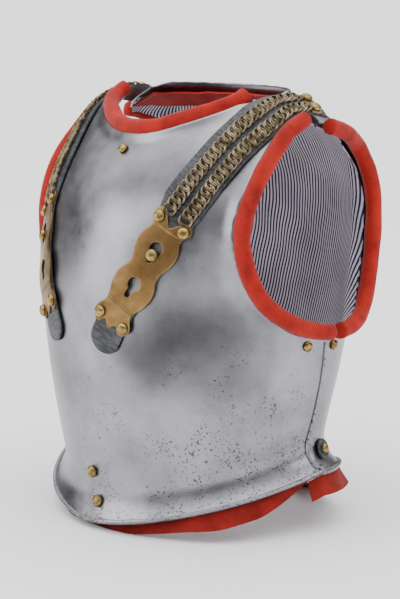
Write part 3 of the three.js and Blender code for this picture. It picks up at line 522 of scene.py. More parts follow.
@dataclass(frozen=True)
class PolishedSteel(Finish):
    """Plate steel, hammered, ground and polished by hand, with brush marks, stains and some pitting.

    The grinding leaves broad soft waves in the reflections, soft patches of painted shade and dark
    reflections darken it, and damp has pitted it low on the wearer's left and along the hem. The brush marks
    are drawn coarser than real.
    """

    name: str = "polished_plate_steel"
    bright: str = "#9d9da2"
    dull: str = "#808086"
    stain: str = "#77747a"
    pit: str = "#3a3431"
    roughness_low: float = 0.2
    roughness_high: float = 0.38
    roughness_of_brush: float = 0.1
    roughness_of_blot: float = 0.3
    brush_across: float = 1.3
    brush_along: float = 30.0
    mottle_size: float = 60.0
    patch_size: float = 38.0
    blot_size: float = 9.0
    pit_size: float = 2.6
    grain_size: float = 1.6
    wave_size: float = 75.0
    drift_size: float = 70.0
    drift: float = 70.0
    damp_from: float = 220.0
    damp_full: float = 40.0
    damp_right: float = -120.0
    damp_left: float = 140.0
    damp_right_share: float = 0.15
    damp_weight: float = 0.3
    hem_from: float = 11.0
    hem_full: float = 2.0
    hem_share: float = 0.55
    # Soft patches of painted shade and dark reflections, laid into the steel's colour.
    painted_shade_clouds: tuple[Mark, ...] = (
        Mark((104.0, -110.0, 198.0), 83.2, 0.26),
        Mark((138.0, -78.0, 192.0), 70.4, 0.4),
        Mark((74.0, -126.0, 170.0), 54.4, 0.55),
        Mark((96.0, -75.0, 352.0), 54.4, 0.4),
        Mark((50.0, -104.0, 348.0), 44.8, 0.5),
        Mark((-60.0, -125.0, 260.0), 96.0, 0.5),
        Mark((-55.0, -122.0, 160.0), 80.0, 0.6),
        Mark((156.0, -40.0, 215.0), 54.4, 0.7),
    )
    scars: tuple[Mark, ...] = (
        Mark((17.5, -134.2, 93.5), 2.4, 0.3),
        Mark((65.9, -113.0, 50.0), 2.2, 0.3),
        Mark((12.9, -143.4, 155.4), 1.5, 0.3),
        Mark((2.4, -136.4, 101.0), 1.2, 0.3),
    )

    def damp(self, tree: Tree, place: Socket) -> Socket:
        """Finds where damp has reached: low on the wearer's left, and along the hem.

        Args:
            tree: The material's node tree.
            place: The surface's own place, in metres.

        Returns:
            The share of damp, from 0 to 1.
        """
        axes = add_node(tree, "ShaderNodeSeparateXYZ", links={"Vector": place})
        hem = add_node(tree, "ShaderNodeAttribute", {"attribute_name": "edge"})
        shares = [
            add_node(
                tree,
                "ShaderNodeMapRange",
                {"From Min": start, "From Max": end, "To Min": low, "To Max": high},
                {"Value": value},
            ).outputs[0]
            for value, start, end, low, high in (
                (axes.outputs["Z"], self.damp_from * MILLIMETRE, self.damp_full * MILLIMETRE, 0.0, 1.0),
                (
                    axes.outputs["X"],
                    self.damp_right * MILLIMETRE,
                    self.damp_left * MILLIMETRE,
                    self.damp_right_share,
                    1.0,
                ),
                (hem.outputs["Fac"], self.hem_from, self.hem_full, 0.0, self.hem_share),
            )
        ]
        low, left, along_hem = shares
        body = add_node(tree, "ShaderNodeMath", {"operation": "MULTIPLY"}, {0: low, 1: left}).outputs[0]
        whole = {"operation": "ADD", "use_clamp": True}
        return add_node(tree, "ShaderNodeMath", whole, {0: body, 1: along_hem}).outputs[0]

    def painted_shade_and_scars(self, tree: Tree, place: Socket) -> Socket:
        """Darkens the steel in soft patches of painted shade and dark reflections, whose edges drift, and in
        its scars.

        Args:
            tree: The material's node tree.
            place: The surface's own place, in metres.

        Returns:
            The shade of the steel, from 0 to 1.
        """
        drift = self.drift * MILLIMETRE
        moved = add_node(
            tree,
            "ShaderNodeTexNoise",
            {"Scale": per_metre(self.drift_size), "Detail": 4.0},
            {"Vector": place},
        ).outputs["Color"]
        moved = add_node(
            tree,
            "ShaderNodeVectorMath",
            {"operation": "MULTIPLY_ADD", 1: (drift, drift, drift)},
            {0: moved, 2: place},
        ).outputs[0]
        half = (drift / 2, drift / 2, drift / 2)
        moved = add_node(
            tree, "ShaderNodeVectorMath", {"operation": "SUBTRACT", 1: half}, {0: moved}
        ).outputs[0]
        # Painted shade and dark reflections from the soft patches, then the scars' own dark marks.
        shades = [cloud.shading(tree, moved) for cloud in self.painted_shade_clouds]
        shades += [scar.shading(tree, place) for scar in self.scars]
        whole = shades[0]
        for shade in shades[1:]:
            links = {0: whole, 1: shade}
            whole = add_node(tree, "ShaderNodeMath", {"operation": "MULTIPLY"}, links).outputs[0]
        return whole

    def surface(self, tree: Tree) -> bpy.types.Node:
        """Builds the shader.

        Args:
            tree: The material's node tree.

        Returns:
            The shader node.
        """
        place = add_node(tree, "ShaderNodeTexCoord").outputs["Object"]
        strokes = add_node(
            tree,
            "ShaderNodeMapping",
            {"Scale": tuple(map(per_metre, (self.brush_across, self.brush_across, self.brush_along)))},
            {"Vector": place},
        ).outputs[0]
        brush, mottle, patch, blot, spots, grain, waves = (
            add_node(
                tree,
                "ShaderNodeTexNoise",
                {"Scale": scale, "Detail": detail, "Roughness": breakup},
                {"Vector": where},
            ).outputs["Fac"]
            for scale, detail, breakup, where in (
                (1.0, 3.0, 0.5, strokes),
                (per_metre(self.mottle_size), 6.0, 0.62, place),
                (per_metre(self.patch_size), 4.0, 0.6, place),
                (per_metre(self.blot_size), 5.0, 0.65, place),
                (per_metre(self.pit_size), 2.0, 0.7, place),
                (per_metre(self.grain_size), 4.0, 0.5, place),
                (per_metre(self.wave_size), 1.0, 0.5, place),
            )
        )
        colour = add_node(
            tree,
            "ShaderNodeValToRGB",
            {"stops": [(0.35, linear(self.dull)), (0.62, linear(self.bright))]},
            {"Fac": mottle},
        ).outputs[0]
        damp = self.damp(tree, place)
        attacked = add_node(
            tree, "ShaderNodeMath", {"operation": "MULTIPLY_ADD", 1: self.damp_weight}, {0: damp, 2: patch}
        ).outputs[0]
        eaten = []
        for pattern, weight, start, depth, tint in (
            (blot, 0.3, 0.88, 0.5, self.stain),
            (spots, 0.5, 0.99, 0.8, self.pit),
        ):
            reached = add_node(
                tree, "ShaderNodeMath", {"operation": "MULTIPLY_ADD", 1: weight}, {0: attacked, 2: pattern}
            ).outputs[0]
            stops = [(start, grey(0.0)), (1.0, grey(depth))]
            share = add_node(tree, "ShaderNodeValToRGB", {"stops": stops}, {"Fac": reached}).outputs[0]
            colour = add_node(
                tree, "ShaderNodeMix", {"data_type": "RGBA", 7: linear(tint)}, {0: share, 6: colour}
            ).outputs[2]
            eaten.append(share)
        blots, pits = eaten
        # The steel's colour is darkened by painted shade and dark reflections, and by its scars.
        shade = self.painted_shade_and_scars(tree, place)
        shaded = add_node(
            tree, "ShaderNodeVectorMath", {"operation": "SCALE"}, {0: colour, "Scale": shade}
        ).outputs[0]
        rough = add_node(
            tree,
            "ShaderNodeMapRange",
            {"From Min": 0.3, "From Max": 0.7, "To Min": self.roughness_low, "To Max": self.roughness_high},
            {"Value": mottle},
        ).outputs[0]
        for pattern, weight in ((brush, self.roughness_of_brush), (blots, self.roughness_of_blot)):
            rough = add_node(
                tree, "ShaderNodeMath", {"operation": "MULTIPLY_ADD", 1: weight}, {0: pattern, 2: rough}
            ).outputs[0]
        layers = [(waves, 0.2, 4.0), (brush, 0.16, 0.15), (grain, 0.1, 0.2), (pits, 0.6, -0.3)]
        return add_node(
            tree,
            "ShaderNodeBsdfPrincipled",
            {"Metallic": 1.0},
            {"Base Color": shaded, "Roughness": rough, "Normal": self.relief(tree, layers)},
        )


@dataclass(frozen=True)
class WoolCloth(Finish):
    """Red broadcloth, woven of wool, fulled and napped.

    The nap hides the weave and gives a soft light edge, and the dye has faded and dirtied in patches.
    """

    name: str = "fulled_wool_broadcloth"
    fresh: str = "#a8241b"
    faded: str = "#961f18"
    dirty: str = "#7c1a15"
    sheen: float = 0.12
    patch_size: float = 26.0
    nap_size: float = 0.9
    felt_size: float = 4.5

    def surface(self, tree: Tree) -> bpy.types.Node:
        """Builds the shader.

        Args:
            tree: The material's node tree.

        Returns:
            The shader node.
        """
        place = add_node(tree, "ShaderNodeTexCoord").outputs["Object"]
        patch, nap, felt = (
            add_node(
                tree,
                "ShaderNodeTexNoise",
                {"Scale": per_metre(size), "Detail": detail, "Roughness": breakup},
                {"Vector": place},
            ).outputs["Fac"]
            for size, detail, breakup in (
                (self.patch_size, 5.0, 0.65),
                (self.nap_size, 4.0, 0.7),
                (self.felt_size, 3.0, 0.5),
            )
        )
        stops = [(0.3, linear(self.dirty)), (0.45, linear(self.faded)), (0.62, linear(self.fresh))]
        colour = add_node(tree, "ShaderNodeValToRGB", {"stops": stops}, {"Fac": patch}).outputs[0]
        fleck = add_node(
            tree,
            "ShaderNodeMapRange",
            {"From Min": 0.3, "From Max": 0.7, "To Min": 0.82, "To Max": 1.1},
            {"Value": nap},
        ).outputs[0]
        flecked = add_node(
            tree, "ShaderNodeVectorMath", {"operation": "SCALE"}, {0: colour, "Scale": fleck}
        ).outputs[0]
        return add_node(
            tree,
            "ShaderNodeBsdfPrincipled",
            {
                "Roughness": 0.95,
                "Sheen Weight": self.sheen,
                "Sheen Roughness": 0.4,
                "Specular IOR Level": 0.2,
            },
            {"Base Color": flecked, "Normal": self.relief(tree, [(felt, 0.35, 1.2), (nap, 0.6, 0.5)])},
        )


@dataclass(frozen=True)
class StripedTicking(Finish):
    """Linen ticking, woven with navy stripes on a pale lilac ground.

    The stripes follow the cloth, so they are read from its own flat coordinates, in metres. A thread is too
    fine to show, so the weave is drawn about three times as coarse.
    """

    name: str = "woven_linen_ticking"
    dark: str = "#272244"
    pale: str = "#d6cfdb"
    stripe_pitch: float = 4.6
    thread: float = 1.1
    fray_size: float = 1.5
    dirt_size: float = 45.0

    def surface(self, tree: Tree) -> bpy.types.Node:
        """Builds the shader.

        Args:
            tree: The material's node tree.

        Returns:
            The shader node.
        """
        cloth = add_node(tree, "ShaderNodeUVMap", {"uv_map": "cloth"}).outputs[0]
        place = add_node(tree, "ShaderNodeTexCoord").outputs["Object"]
        fray, dirt = (
            add_node(
                tree, "ShaderNodeTexNoise", {"Scale": per_metre(size), "Detail": detail}, {"Vector": place}
            ).outputs["Fac"]
            for size, detail in ((self.fray_size, 2.0), (self.dirt_size, 5.0))
        )
        axes = add_node(tree, "ShaderNodeSeparateXYZ", links={"Vector": cloth})
        phase = add_node(
            tree,
            "ShaderNodeMath",
            {"operation": "MULTIPLY", 1: 2 * math.pi * per_metre(self.stripe_pitch)},
            {0: axes.outputs["X"]},
        ).outputs[0]
        wave = add_node(tree, "ShaderNodeMath", {"operation": "SINE"}, {0: phase}).outputs[0]
        frayed = add_node(
            tree, "ShaderNodeMath", {"operation": "MULTIPLY_ADD", 1: 0.5}, {0: fray, 2: wave}
        ).outputs[0]
        mask, shade = (
            add_node(
                tree,
                "ShaderNodeMapRange",
                {"From Min": start, "From Max": end, "To Min": low, "To Max": high},
                {"Value": value},
            ).outputs[0]
            for value, start, end, low, high in ((frayed, 0.0, 0.5, 0.0, 1.0), (dirt, 0.3, 0.7, 0.8, 1.08))
        )
        colours = {"data_type": "RGBA", 6: linear(self.dark), 7: linear(self.pale)}
        striped = add_node(tree, "ShaderNodeMix", colours, {0: mask}).outputs[2]
        dirty = add_node(
            tree, "ShaderNodeVectorMath", {"operation": "SCALE"}, {0: striped, "Scale": shade}
        ).outputs[0]
        weave = add_node(
            tree, "ShaderNodeTexChecker", {"Scale": per_metre(self.thread)}, {"Vector": cloth}
        ).outputs["Fac"]
        return add_node(
            tree,
            "ShaderNodeBsdfPrincipled",
            {"Roughness": 0.9, "Sheen Weight": 0.1, "Specular IOR Level": 0.25},
            {"Base Color": dirty, "Normal": self.relief(tree, [(weave, 0.25, 0.2)])},
        )


@dataclass(frozen=True)
class BlackLeather(Finish):
    """Cowhide, vegetable tanned, blacked and waxed, now dry and cracked across.

    The blacking has worn to grey on the high places, and the cracks stay dark.
    """

    name: str = "blacked_cowhide"
    deep: str = "#101113"
    worn: str = "#43464c"
    crack_along: float = 2.4
    crack_across: float = 11.0
    rub_size: float = 22.0
    pore_size: float = 1.2

    def surface(self, tree: Tree) -> bpy.types.Node:
        """Builds the shader.

        Args:
            tree: The material's node tree.

        Returns:
            The shader node.
        """
        flat = add_node(tree, "ShaderNodeUVMap", {"uv_map": "cloth"}).outputs[0]
        place = add_node(tree, "ShaderNodeTexCoord").outputs["Object"]
        stretched = add_node(
            tree,
            "ShaderNodeMapping",
            {"Scale": (per_metre(self.crack_along), per_metre(self.crack_across), 1.0)},
            {"Vector": flat},
        ).outputs[0]
        cracks = add_node(
            tree,
            "ShaderNodeTexNoise",
            {"Scale": 1.0, "Detail": 4.0, "Roughness": 0.6, "Distortion": 0.6},
            {"Vector": stretched},
        ).outputs["Fac"]
        rub = add_node(
            tree, "ShaderNodeTexNoise", {"Scale": per_metre(self.rub_size), "Detail": 5.0}, {"Vector": place}
        ).outputs["Fac"]
        pores = add_node(
            tree, "ShaderNodeTexVoronoi", {"Scale": per_metre(self.pore_size)}, {"Vector": place}
        ).outputs["Distance"]
        mixed = add_node(
            tree, "ShaderNodeMath", {"operation": "MULTIPLY_ADD", 1: 0.6}, {0: rub, 2: cracks}
        ).outputs[0]
        colour = add_node(
            tree,
            "ShaderNodeValToRGB",
            {"stops": [(0.66, linear(self.deep)), (0.95, linear(self.worn))]},
            {"Fac": mixed},
        ).outputs[0]
        return add_node(
            tree,
            "ShaderNodeBsdfPrincipled",
            {"Roughness": 0.48, "Specular IOR Level": 0.45},
            {"Base Color": colour, "Normal": self.relief(tree, [(cracks, 0.7, 0.9), (pores, 0.25, 0.3)])},
        )


@dataclass(frozen=True)
class AgedBrass(Finish):
    """Brass, cut from sheet, turned or drawn to wire, once polished and now dull.

    Handling keeps the high places yellow and the rest has browned. `scores` are lines scribed across a
    plate, as distances along its strap in millimetres.
    """

    name: str = "aged_sheet_brass"
    clean: str = "#957549"
    brown: str = "#735835"
    dark: str = "#4d3a26"
    roughness: float = 0.36
    patch_size: float = 30.0
    grain_size: float = 1.4
    scores: tuple[float, ...] = ()
    score_width: float = 0.9
    score_shade: float = 0.55

    def scored(self, tree: Tree) -> Socket:
        """Draws the scribed lines.

        Args:
            tree: The material's node tree.

        Returns:
            The lines' depth, from 0 to 1.
        """
        flat = add_node(tree, "ShaderNodeUVMap", {"uv_map": "cloth"}).outputs[0]
        run = add_node(tree, "ShaderNodeSeparateXYZ", links={"Vector": flat}).outputs["X"]
        deepest: dict[int, Socket] = {}
        for score in self.scores:
            away = add_node(
                tree, "ShaderNodeMath", {"operation": "SUBTRACT", 1: score * MILLIMETRE}, {0: run}
            ).outputs[0]
            away = add_node(tree, "ShaderNodeMath", {"operation": "ABSOLUTE"}, {0: away}).outputs[0]
            groove = add_node(
                tree,
                "ShaderNodeMapRange",
                {"From Max": self.score_width * MILLIMETRE, "To Min": 1.0, "To Max": 0.0},
                {"Value": away},
            ).outputs[0]
            deeper = {"operation": "MAXIMUM", 1: 0.0}
            deepest = {1: add_node(tree, "ShaderNodeMath", deeper, {0: groove, **deepest}).outputs[0]}
        return deepest[1]

    def surface(self, tree: Tree) -> bpy.types.Node:
        """Builds the shader.

        Args:
            tree: The material's node tree.

        Returns:
            The shader node.
        """
        place = add_node(tree, "ShaderNodeTexCoord").outputs["Object"]
        patch, grain = (
            add_node(
                tree,
                "ShaderNodeTexNoise",
                {"Scale": per_metre(size), "Detail": detail, "Roughness": breakup},
                {"Vector": place},
            ).outputs["Fac"]
            for size, detail, breakup in ((self.patch_size, 6.0, 0.6), (self.grain_size, 4.0, 0.5))
        )
        stops = [(0.25, linear(self.dark)), (0.42, linear(self.brown)), (0.64, linear(self.clean))]
        colour = add_node(tree, "ShaderNodeValToRGB", {"stops": stops}, {"Fac": patch}).outputs[0]
        dullest, brightest = self.roughness + 0.14, self.roughness - 0.06
        rough = add_node(
            tree,
            "ShaderNodeMapRange",
            {"From Min": 0.3, "From Max": 0.7, "To Min": dullest, "To Max": brightest},
            {"Value": patch},
        ).outputs[0]
        layers = [(grain, 0.2, 0.3)]
        if self.scores:
            grooves = self.scored(tree)
            layers.append((grooves, 1.0, -0.5))
            grimy = add_node(
                tree, "ShaderNodeMath", {"operation": "MULTIPLY", 1: self.score_shade}, {0: grooves}
            ).outputs[0]
            colour = add_node(
                tree, "ShaderNodeMix", {"data_type": "RGBA", 7: linear(self.dark)}, {0: grimy, 6: colour}
            ).outputs[2]
        return add_node(
            tree,
            "ShaderNodeBsdfPrincipled",
            {"Metallic": 1.0},
            {"Base Color": colour, "Roughness": rough, "Normal": self.relief(tree, layers)},
        )


@dataclass(frozen=True)
class MattPaper(Finish):
    """Seamless studio paper, matt and almost white."""

    name: str = "seamless_studio_paper"
    colour: str = "#f6f6f7"

    def surface(self, tree: Tree) -> bpy.types.Node:
        """Builds the shader.

        Args:
            tree: The material's node tree.

        Returns:
            The shader node.
        """
        return add_node(
            tree,
            "ShaderNodeBsdfPrincipled",
            {"Roughness": 0.8, "Base Color": linear(self.colour), "Specular IOR Level": 0.2},
        )


STEEL = PolishedSteel()
WOOL = WoolCloth()
# The same broadcloth as the rolls, painted darker for the shade that the skirts hang in.
SHADED_SKIRT_WOOL = WoolCloth(
    name="thin_wool_broadcloth", fresh="#8b1f19", faded="#7b1b16", dirty="#641511", sheen=0.08
)
TICKING = StripedTicking()
LEATHER = BlackLeather()
PLATE_BRASS = AgedBrass(scores=(54.0, 56.6, 140.0))
STUD_BRASS = AgedBrass(
    name="aged_turned_brass",
    clean="#ac9258",
    brown="#7d6a3e",
    dark="#4a3d24",
    roughness=0.3,
    patch_size=5.0,
)
CHAIN_BRASS = AgedBrass(
    name="aged_drawn_brass_wire",
    clean="#a08f72",
    brown="#5e523d",
    dark="#1f1a14",
    roughness=0.28,
    patch_size=7.0,
)


def make_piece(
    name: str,
    points: Points,
    faces: Faces,
    finish: Finish,
    replaces: Sequence[str] = (),
    side: Side | None = None,
    flat: Points | None = None,
    edge: Points | None = None,
) -> bpy.types.Object:
    """Makes one piece of the object from points and faces.

    Args:
        name: The piece's name.
        points: Its points, in millimetres.
        faces: Its faces, as indices of points.
        finish: Its finish.
        replaces: The solids that it stands for.
        side: The side that it goes on, where its points are those of the wearer's left.
        flat: Flat coordinates of each point, in millimetres.
        edge: Each point's distance from the piece's hem, in millimetres.

    Returns:
        The new object, riding on the root body.
    """
    if side is Side.RIGHT:
        points, faces = points * np.array([-1.0, 1.0, 1.0]), [tuple(reversed(face)) for face in faces]
    mesh = bpy.data.meshes.new(name)
    mesh.from_pydata((points * MILLIMETRE).tolist(), [], [list(map(int, face)) for face in faces])
    mesh.validate()
    mesh.polygons.foreach_set("use_smooth", [True] * len(mesh.polygons))
    mesh.set_sharp_from_angle(angle=math.radians(SHARP_DEGREES))
    if flat is not None:
        corners = np.zeros(len(mesh.loops), np.int32)
        mesh.loops.foreach_get("vertex_index", corners)
        layer = mesh.uv_layers.new(name="cloth")
        layer.data.foreach_set("uv", (flat[corners] * MILLIMETRE).astype(np.float32).ravel())
    if edge is not None:
        mesh.attributes.new("edge", "FLOAT", "POINT").data.foreach_set("value", edge.astype(np.float32))
    mesh.update()
    piece = bpy.data.objects.new(name, mesh)
    bpy.context.scene.collection.objects.link(piece)
    mesh.materials.append(finish.material())
    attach(piece, "root")
    if replaces:
        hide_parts(*replaces)
    LOG.info("%s: %d faces, %s", name, len(mesh.polygons), finish.name)
    return piece


def resampled(loop: Points, spacing: float) -> Points:
    """Spaces the points of a closed loop evenly, and keeps its corners.

    Args:
        loop: The loop's points.
        spacing: The distance wanted between points.

    Returns:
        The loop with about that spacing.
    """
    corners = [0]
    ahead = np.roll(loop, -1, axis=0) - loop
    turn = np.abs(
        (np.arctan2(ahead[:, 1], ahead[:, 0]) - np.arctan2(*np.roll(ahead, 1, axis=0).T[::-1]) + math.pi)
        % (2 * math.pi)
        - math.pi
    )
    corners += [i for i in range(1, len(loop)) if turn[i] > 0.5]
    parts = []
    for start, end in zip(corners, corners[1:] + [len(loop)]):
        piece = np.concatenate([loop[start:end], loop[end % len(loop)][None]])
        lengths = measured(piece)
        count = max(1, round(lengths[-1] / spacing))
        run = np.linspace(0, lengths[-1], count + 1)[:-1]
        parts.append(np.stack([np.interp(run, lengths, piece[:, k]) for k in (0, 1)], -1))
    return np.concatenate(parts)


def inside(points: Points, loops: Sequence[Points]) -> Points:
    """Tells which points lie inside an odd number of loops.

    Args:
        points: Points on the flat.
        loops: Closed loops.

    Returns:
        One truth value per point.
    """
    odd = np.zeros(len(points), bool)
    x, y = points[:, 0], points[:, 1]
    for loop in loops:
        for (x0, y0), (x1, y1) in zip(loop, np.roll(loop, -1, axis=0)):
            if y0 == y1:
                continue
            crosses = (y0 > y) != (y1 > y)
            odd ^= crosses & (x < (x1 - x0) * (y - y0) / (y1 - y0) + x0)
    return odd


def nearest_distance(points: Points, targets: Points) -> tuple[Points, Points]:
    """Measures each point's distance from the nearest target.

    Args:
        points: Points to measure from.
        targets: Points to measure to.

    Returns:
        The distances, and the index of each nearest target.
    """
    tree = KDTree(len(targets))
    for i, target in enumerate(targets):
        tree.insert(Vector((*target, 0.0)[:3]), i)
    tree.balance()
    found = [tree.find(Vector((*point, 0.0)[:3])) for point in points]
    return np.array([f[2] for f in found]), np.array([f[1] for f in found])


def filled(
    loops: Sequence[Points], spacing: float, rings: Sequence[float]
) -> tuple[Points, Faces, list[list[int]]]:
    """Fills the space inside the first loop, and outside the others, with even triangles.

    Args:
        loops: The outline, counter-clockwise, and its holes, clockwise.
        spacing: The distance wanted between points.
        rings: Distances inwards at which rows of points follow the borders.

    Returns:
        The points, the triangles, and each loop as indices of points.
    """
    borders = [resampled(loop, spacing) for loop in loops]
    points = list(borders)
    everything = np.concatenate(borders)
    for border in borders:
        along = np.roll(border, -1, axis=0) - np.roll(border, 1, axis=0)
        along /= np.linalg.norm(along, axis=1, keepdims=True)
        inwards = np.stack([-along[:, 1], along[:, 0]], -1)
        for ring in rings:
            row = border + inwards * ring
            away, _ = nearest_distance(row, everything)
            points.append(row[(away > 0.9 * ring) & inside(row, borders)])
    low, high = everything.min(0), everything.max(0)
    rows = np.arange(low[1], high[1], spacing * 0.866)
    columns = np.arange(low[0], high[0], spacing)
    grid = np.array([[x + (j % 2) * spacing / 2, y] for j, y in enumerate(rows) for x in columns])
    grid = grid[inside(grid, borders)]
    away, _ = nearest_distance(grid, everything)
    points.append(grid[away > (max(rings) if rings else 0) + 0.7 * spacing])
    sheet = np.concatenate(points)
    edges, start = [], 0
    for border in borders:
        count = len(border)
        edges += [(start + i, start + (i + 1) % count) for i in range(count)]
        start += count
    result = geometry.delaunay_2d_cdt([Vector(p) for p in sheet], edges, [], 0, 1e-5)
    out = np.array([tuple(v) for v in result[0]])
    number = {original: i for i, originals in enumerate(result[3]) for original in originals}
    triangles = np.array([face for face in result[2] if len(face) == 3])
    keep = inside(out[triangles].mean(1), borders)
    triangles = triangles[keep]
    a, b, c = (out[triangles[:, k]] for k in range(3))
    area = (b[:, 0] - a[:, 0]) * (c[:, 1] - a[:, 1]) - (c[:, 0] - a[:, 0]) * (b[:, 1] - a[:, 1])
    triangles[area < 0] = triangles[area < 0][:, ::-1]
    indices, start = [], 0
    for border in borders:
        indices.append([number[start + i] for i in range(len(border))])
        start += len(border)
    return out, [tuple(t) for t in triangles[np.abs(area) > 1e-9]], indices


def vertex_normals(points: Points, faces: Faces) -> Points:
    """Averages the face normals at each point.

    Args:
        points: The surface's points.
        faces: Its triangles.

    Returns:
        A unit normal for each point.
    """
    triangles = np.array(faces)
    a, b, c = (points[triangles[:, k]] for k in range(3))
    cross = np.cross(b - a, c - a)
    normals = np.zeros_like(points)
    for k in range(3):
        np.add.at(normals, triangles[:, k], cross)
    return normals / np.maximum(np.linalg.norm(normals, axis=1, keepdims=True), 1e-12)


def slab(
    outer: Points, inner: Points, faces: Faces, loops: Sequence[Sequence[int]]
) -> tuple[Points, Faces]:
    """Closes two layers with the same triangles into one body.

    Args:
        outer: The outer layer's points.
        inner: The inner layer's points.
        faces: The triangles of the outer layer.
        loops: The borders, as indices of points.

    Returns:
        The body's points and faces.
    """
    count = len(outer)
    body = list(faces) + [(c + count, b + count, a + count) for a, b, c in faces]
    for loop in loops:
        for a, b in zip(loop, list(loop[1:]) + [loop[0]]):
            body.append((b, a, a + count, b + count))
    return np.concatenate([outer, inner]), body


def joined(rings: int, sides: int, closed: bool = False) -> Faces:
    """Joins rings of points with four-sided faces.

    Args:
        rings: The number of rings.
        sides: The number of points in each.
        closed: Whether the last ring joins the first.

    Returns:
        The faces.
    """
    faces: Faces = []
    for j in range(rings if closed else rings - 1):
        low, high = j * sides, (j + 1) % rings * sides
        for i in range(sides):
            n = (i + 1) % sides
            faces.append((low + i, low + n, high + n, high + i))
    return faces


def tube(
    centres: Points,
    ups: Points,
    radii: Callable[[Points, Points], tuple[Points, Points]],
    sides: int,
    closed: bool = False,
) -> tuple[Points, Faces]:
    """Makes a tube along a line.

    Args:
        centres: The points that its middle follows.
        ups: A direction at each point, which the section's second axis leans towards.
        radii: Gives the section's two coordinates from turns round it and shares along it.
        sides: The number of points round it.
        closed: Whether its end joins its start.

    Returns:
        The points and the faces.
    """
    if closed:
        ahead = np.roll(centres, -1, axis=0) - np.roll(centres, 1, axis=0)
    else:
        ahead = np.gradient(centres, axis=0)
    ahead /= np.linalg.norm(ahead, axis=1, keepdims=True)
    up = ups - ahead * (ups * ahead).sum(1, keepdims=True)
    up /= np.linalg.norm(up, axis=1, keepdims=True)
    across = np.cross(ahead, up)
    turns = np.arange(sides) / sides
    share = np.linspace(0, 1, len(centres))
    turn_grid, share_grid = np.meshgrid(turns, share)
    x, y = radii(turn_grid, share_grid)
    rings = centres[:, None] + across[:, None] * x[..., None] + up[:, None] * y[..., None]
    points = rings.reshape(-1, 3)
    faces = joined(len(centres), sides, closed)
    if not closed:
        faces.append(tuple(reversed(range(sides))))
        faces.append(tuple((len(centres) - 1) * sides + i for i in range(sides)))
    return points, faces


def dome(radius: float, height: float, shank: float, sides: int = 28) -> tuple[Points, Faces]:
    """Makes a round head, rounded over like a hand-set rivet, on a short shank.

    Args:
        radius: The head's radius.
        height: The head's height.
        shank: How far the shank reaches below the head.
        sides: The number of points round it.

    Returns:
        Its points and faces, about +Z, with the underside of the head at 0.
    """
    turns = np.linspace(0, math.pi / 2, 8)
    profile = [(radius * 0.4, -shank), (radius * 0.4, 0.0), (radius * 0.96, 0.0)]
    profile += [(radius * math.cos(t) ** 0.75, height * (0.12 + 0.88 * math.sin(t))) for t in turns[:-1]]
    round_turns = 2 * math.pi * np.arange(sides) / sides
    points = [(r * math.cos(turn), r * math.sin(turn), z) for r, z in profile for turn in round_turns]
    points.append((0, 0, height))
    faces = [tuple(reversed(range(sides))), *joined(len(profile), sides)]
    last_ring, top = (len(profile) - 1) * sides, len(points) - 1
    faces += [(last_ring + i, last_ring + (i + 1) % sides, top) for i in range(sides)]
    return np.array(points, float), faces


def set_at(points: Points, spot: Points, normal: Points) -> Points:
    """Stands a piece made about +Z on a spot.

    Args:
        points: The piece's points.
        spot: Where its origin goes.
        normal: Where its +Z points.

    Returns:
        The piece's points in place.
    """
    turn = Vector((0, 0, 1)).rotation_difference(Vector(normal)).to_matrix()
    return points @ np.array(turn).T + spot


def ripples(seed: float, *coordinates: tuple[Points, float]) -> Points:
    """Adds up a few smooth waves into an uneven, repeatable ripple.

    Args:
        seed: Sets the waves apart from those of other pieces.
        coordinates: Each a coordinate and the wave length wanted along it.

    Returns:
        Values of about -1 to 1.
    """
    total = 0.0
    for k in range(5):
        phase = seed * (k + 1) * 1.7
        for j, (coordinate, length) in enumerate(coordinates):
            phase = phase + (1 + 0.37 * ((k * (j + 2)) % 5)) * coordinate * 2 * math.pi / (
                length * (1 + 0.21 * k)
            ) * (1 if (k + j) % 2 else -0.8)
        total = total + np.sin(phase) / (1 + 0.5 * k)
    return total / 2.4


@dataclass
class PlateOutline:
    """The outline of one plate on the torso's map, as one half from the middle to the side."""

    middle_degrees: float
    side: Line
    neck: Line
    shoulder: Line
    arm: Line
    hem_raise: float = 0.0

    def half(self) -> dict[str, Points]:
        """Draws the half outline.

        Returns:
            The hem, side, arm, shoulder and neck as angles and sections, each in walking order.
        """
        side = np.stack(self.side.at(np.linspace(0, 1, 80)), -1)
        angles = np.linspace(math.radians(self.middle_degrees), side[0, 0], 90)
        heights = TORSO.rim(angles) + self.hem_raise
        hem = np.stack([angles, TORSO.section_at(heights / TORSO.body_height)], -1)
        side = np.concatenate([hem[-1:], side[side[:, 1] > hem[-1, 1] + 0.02]])
        walk = np.linspace(0, 1, 160)
        arm = np.stack(self.arm.at(walk), -1)
        shoulder = np.stack(self.shoulder.at(np.linspace(1, 0, 30)), -1)
        neck = np.stack(self.neck.at(np.linspace(1, 0, 70)), -1)
        return {"hem": hem, "side": side, "arm": arm, "shoulder": shoulder, "neck": neck}


def upright(degrees: float, low: float, high: float) -> Line:
    """Draws an upright line at an angle, between two shares of the body's height."""
    return Line([(degrees, low), (degrees, (low + high) / 2), (degrees, high)])


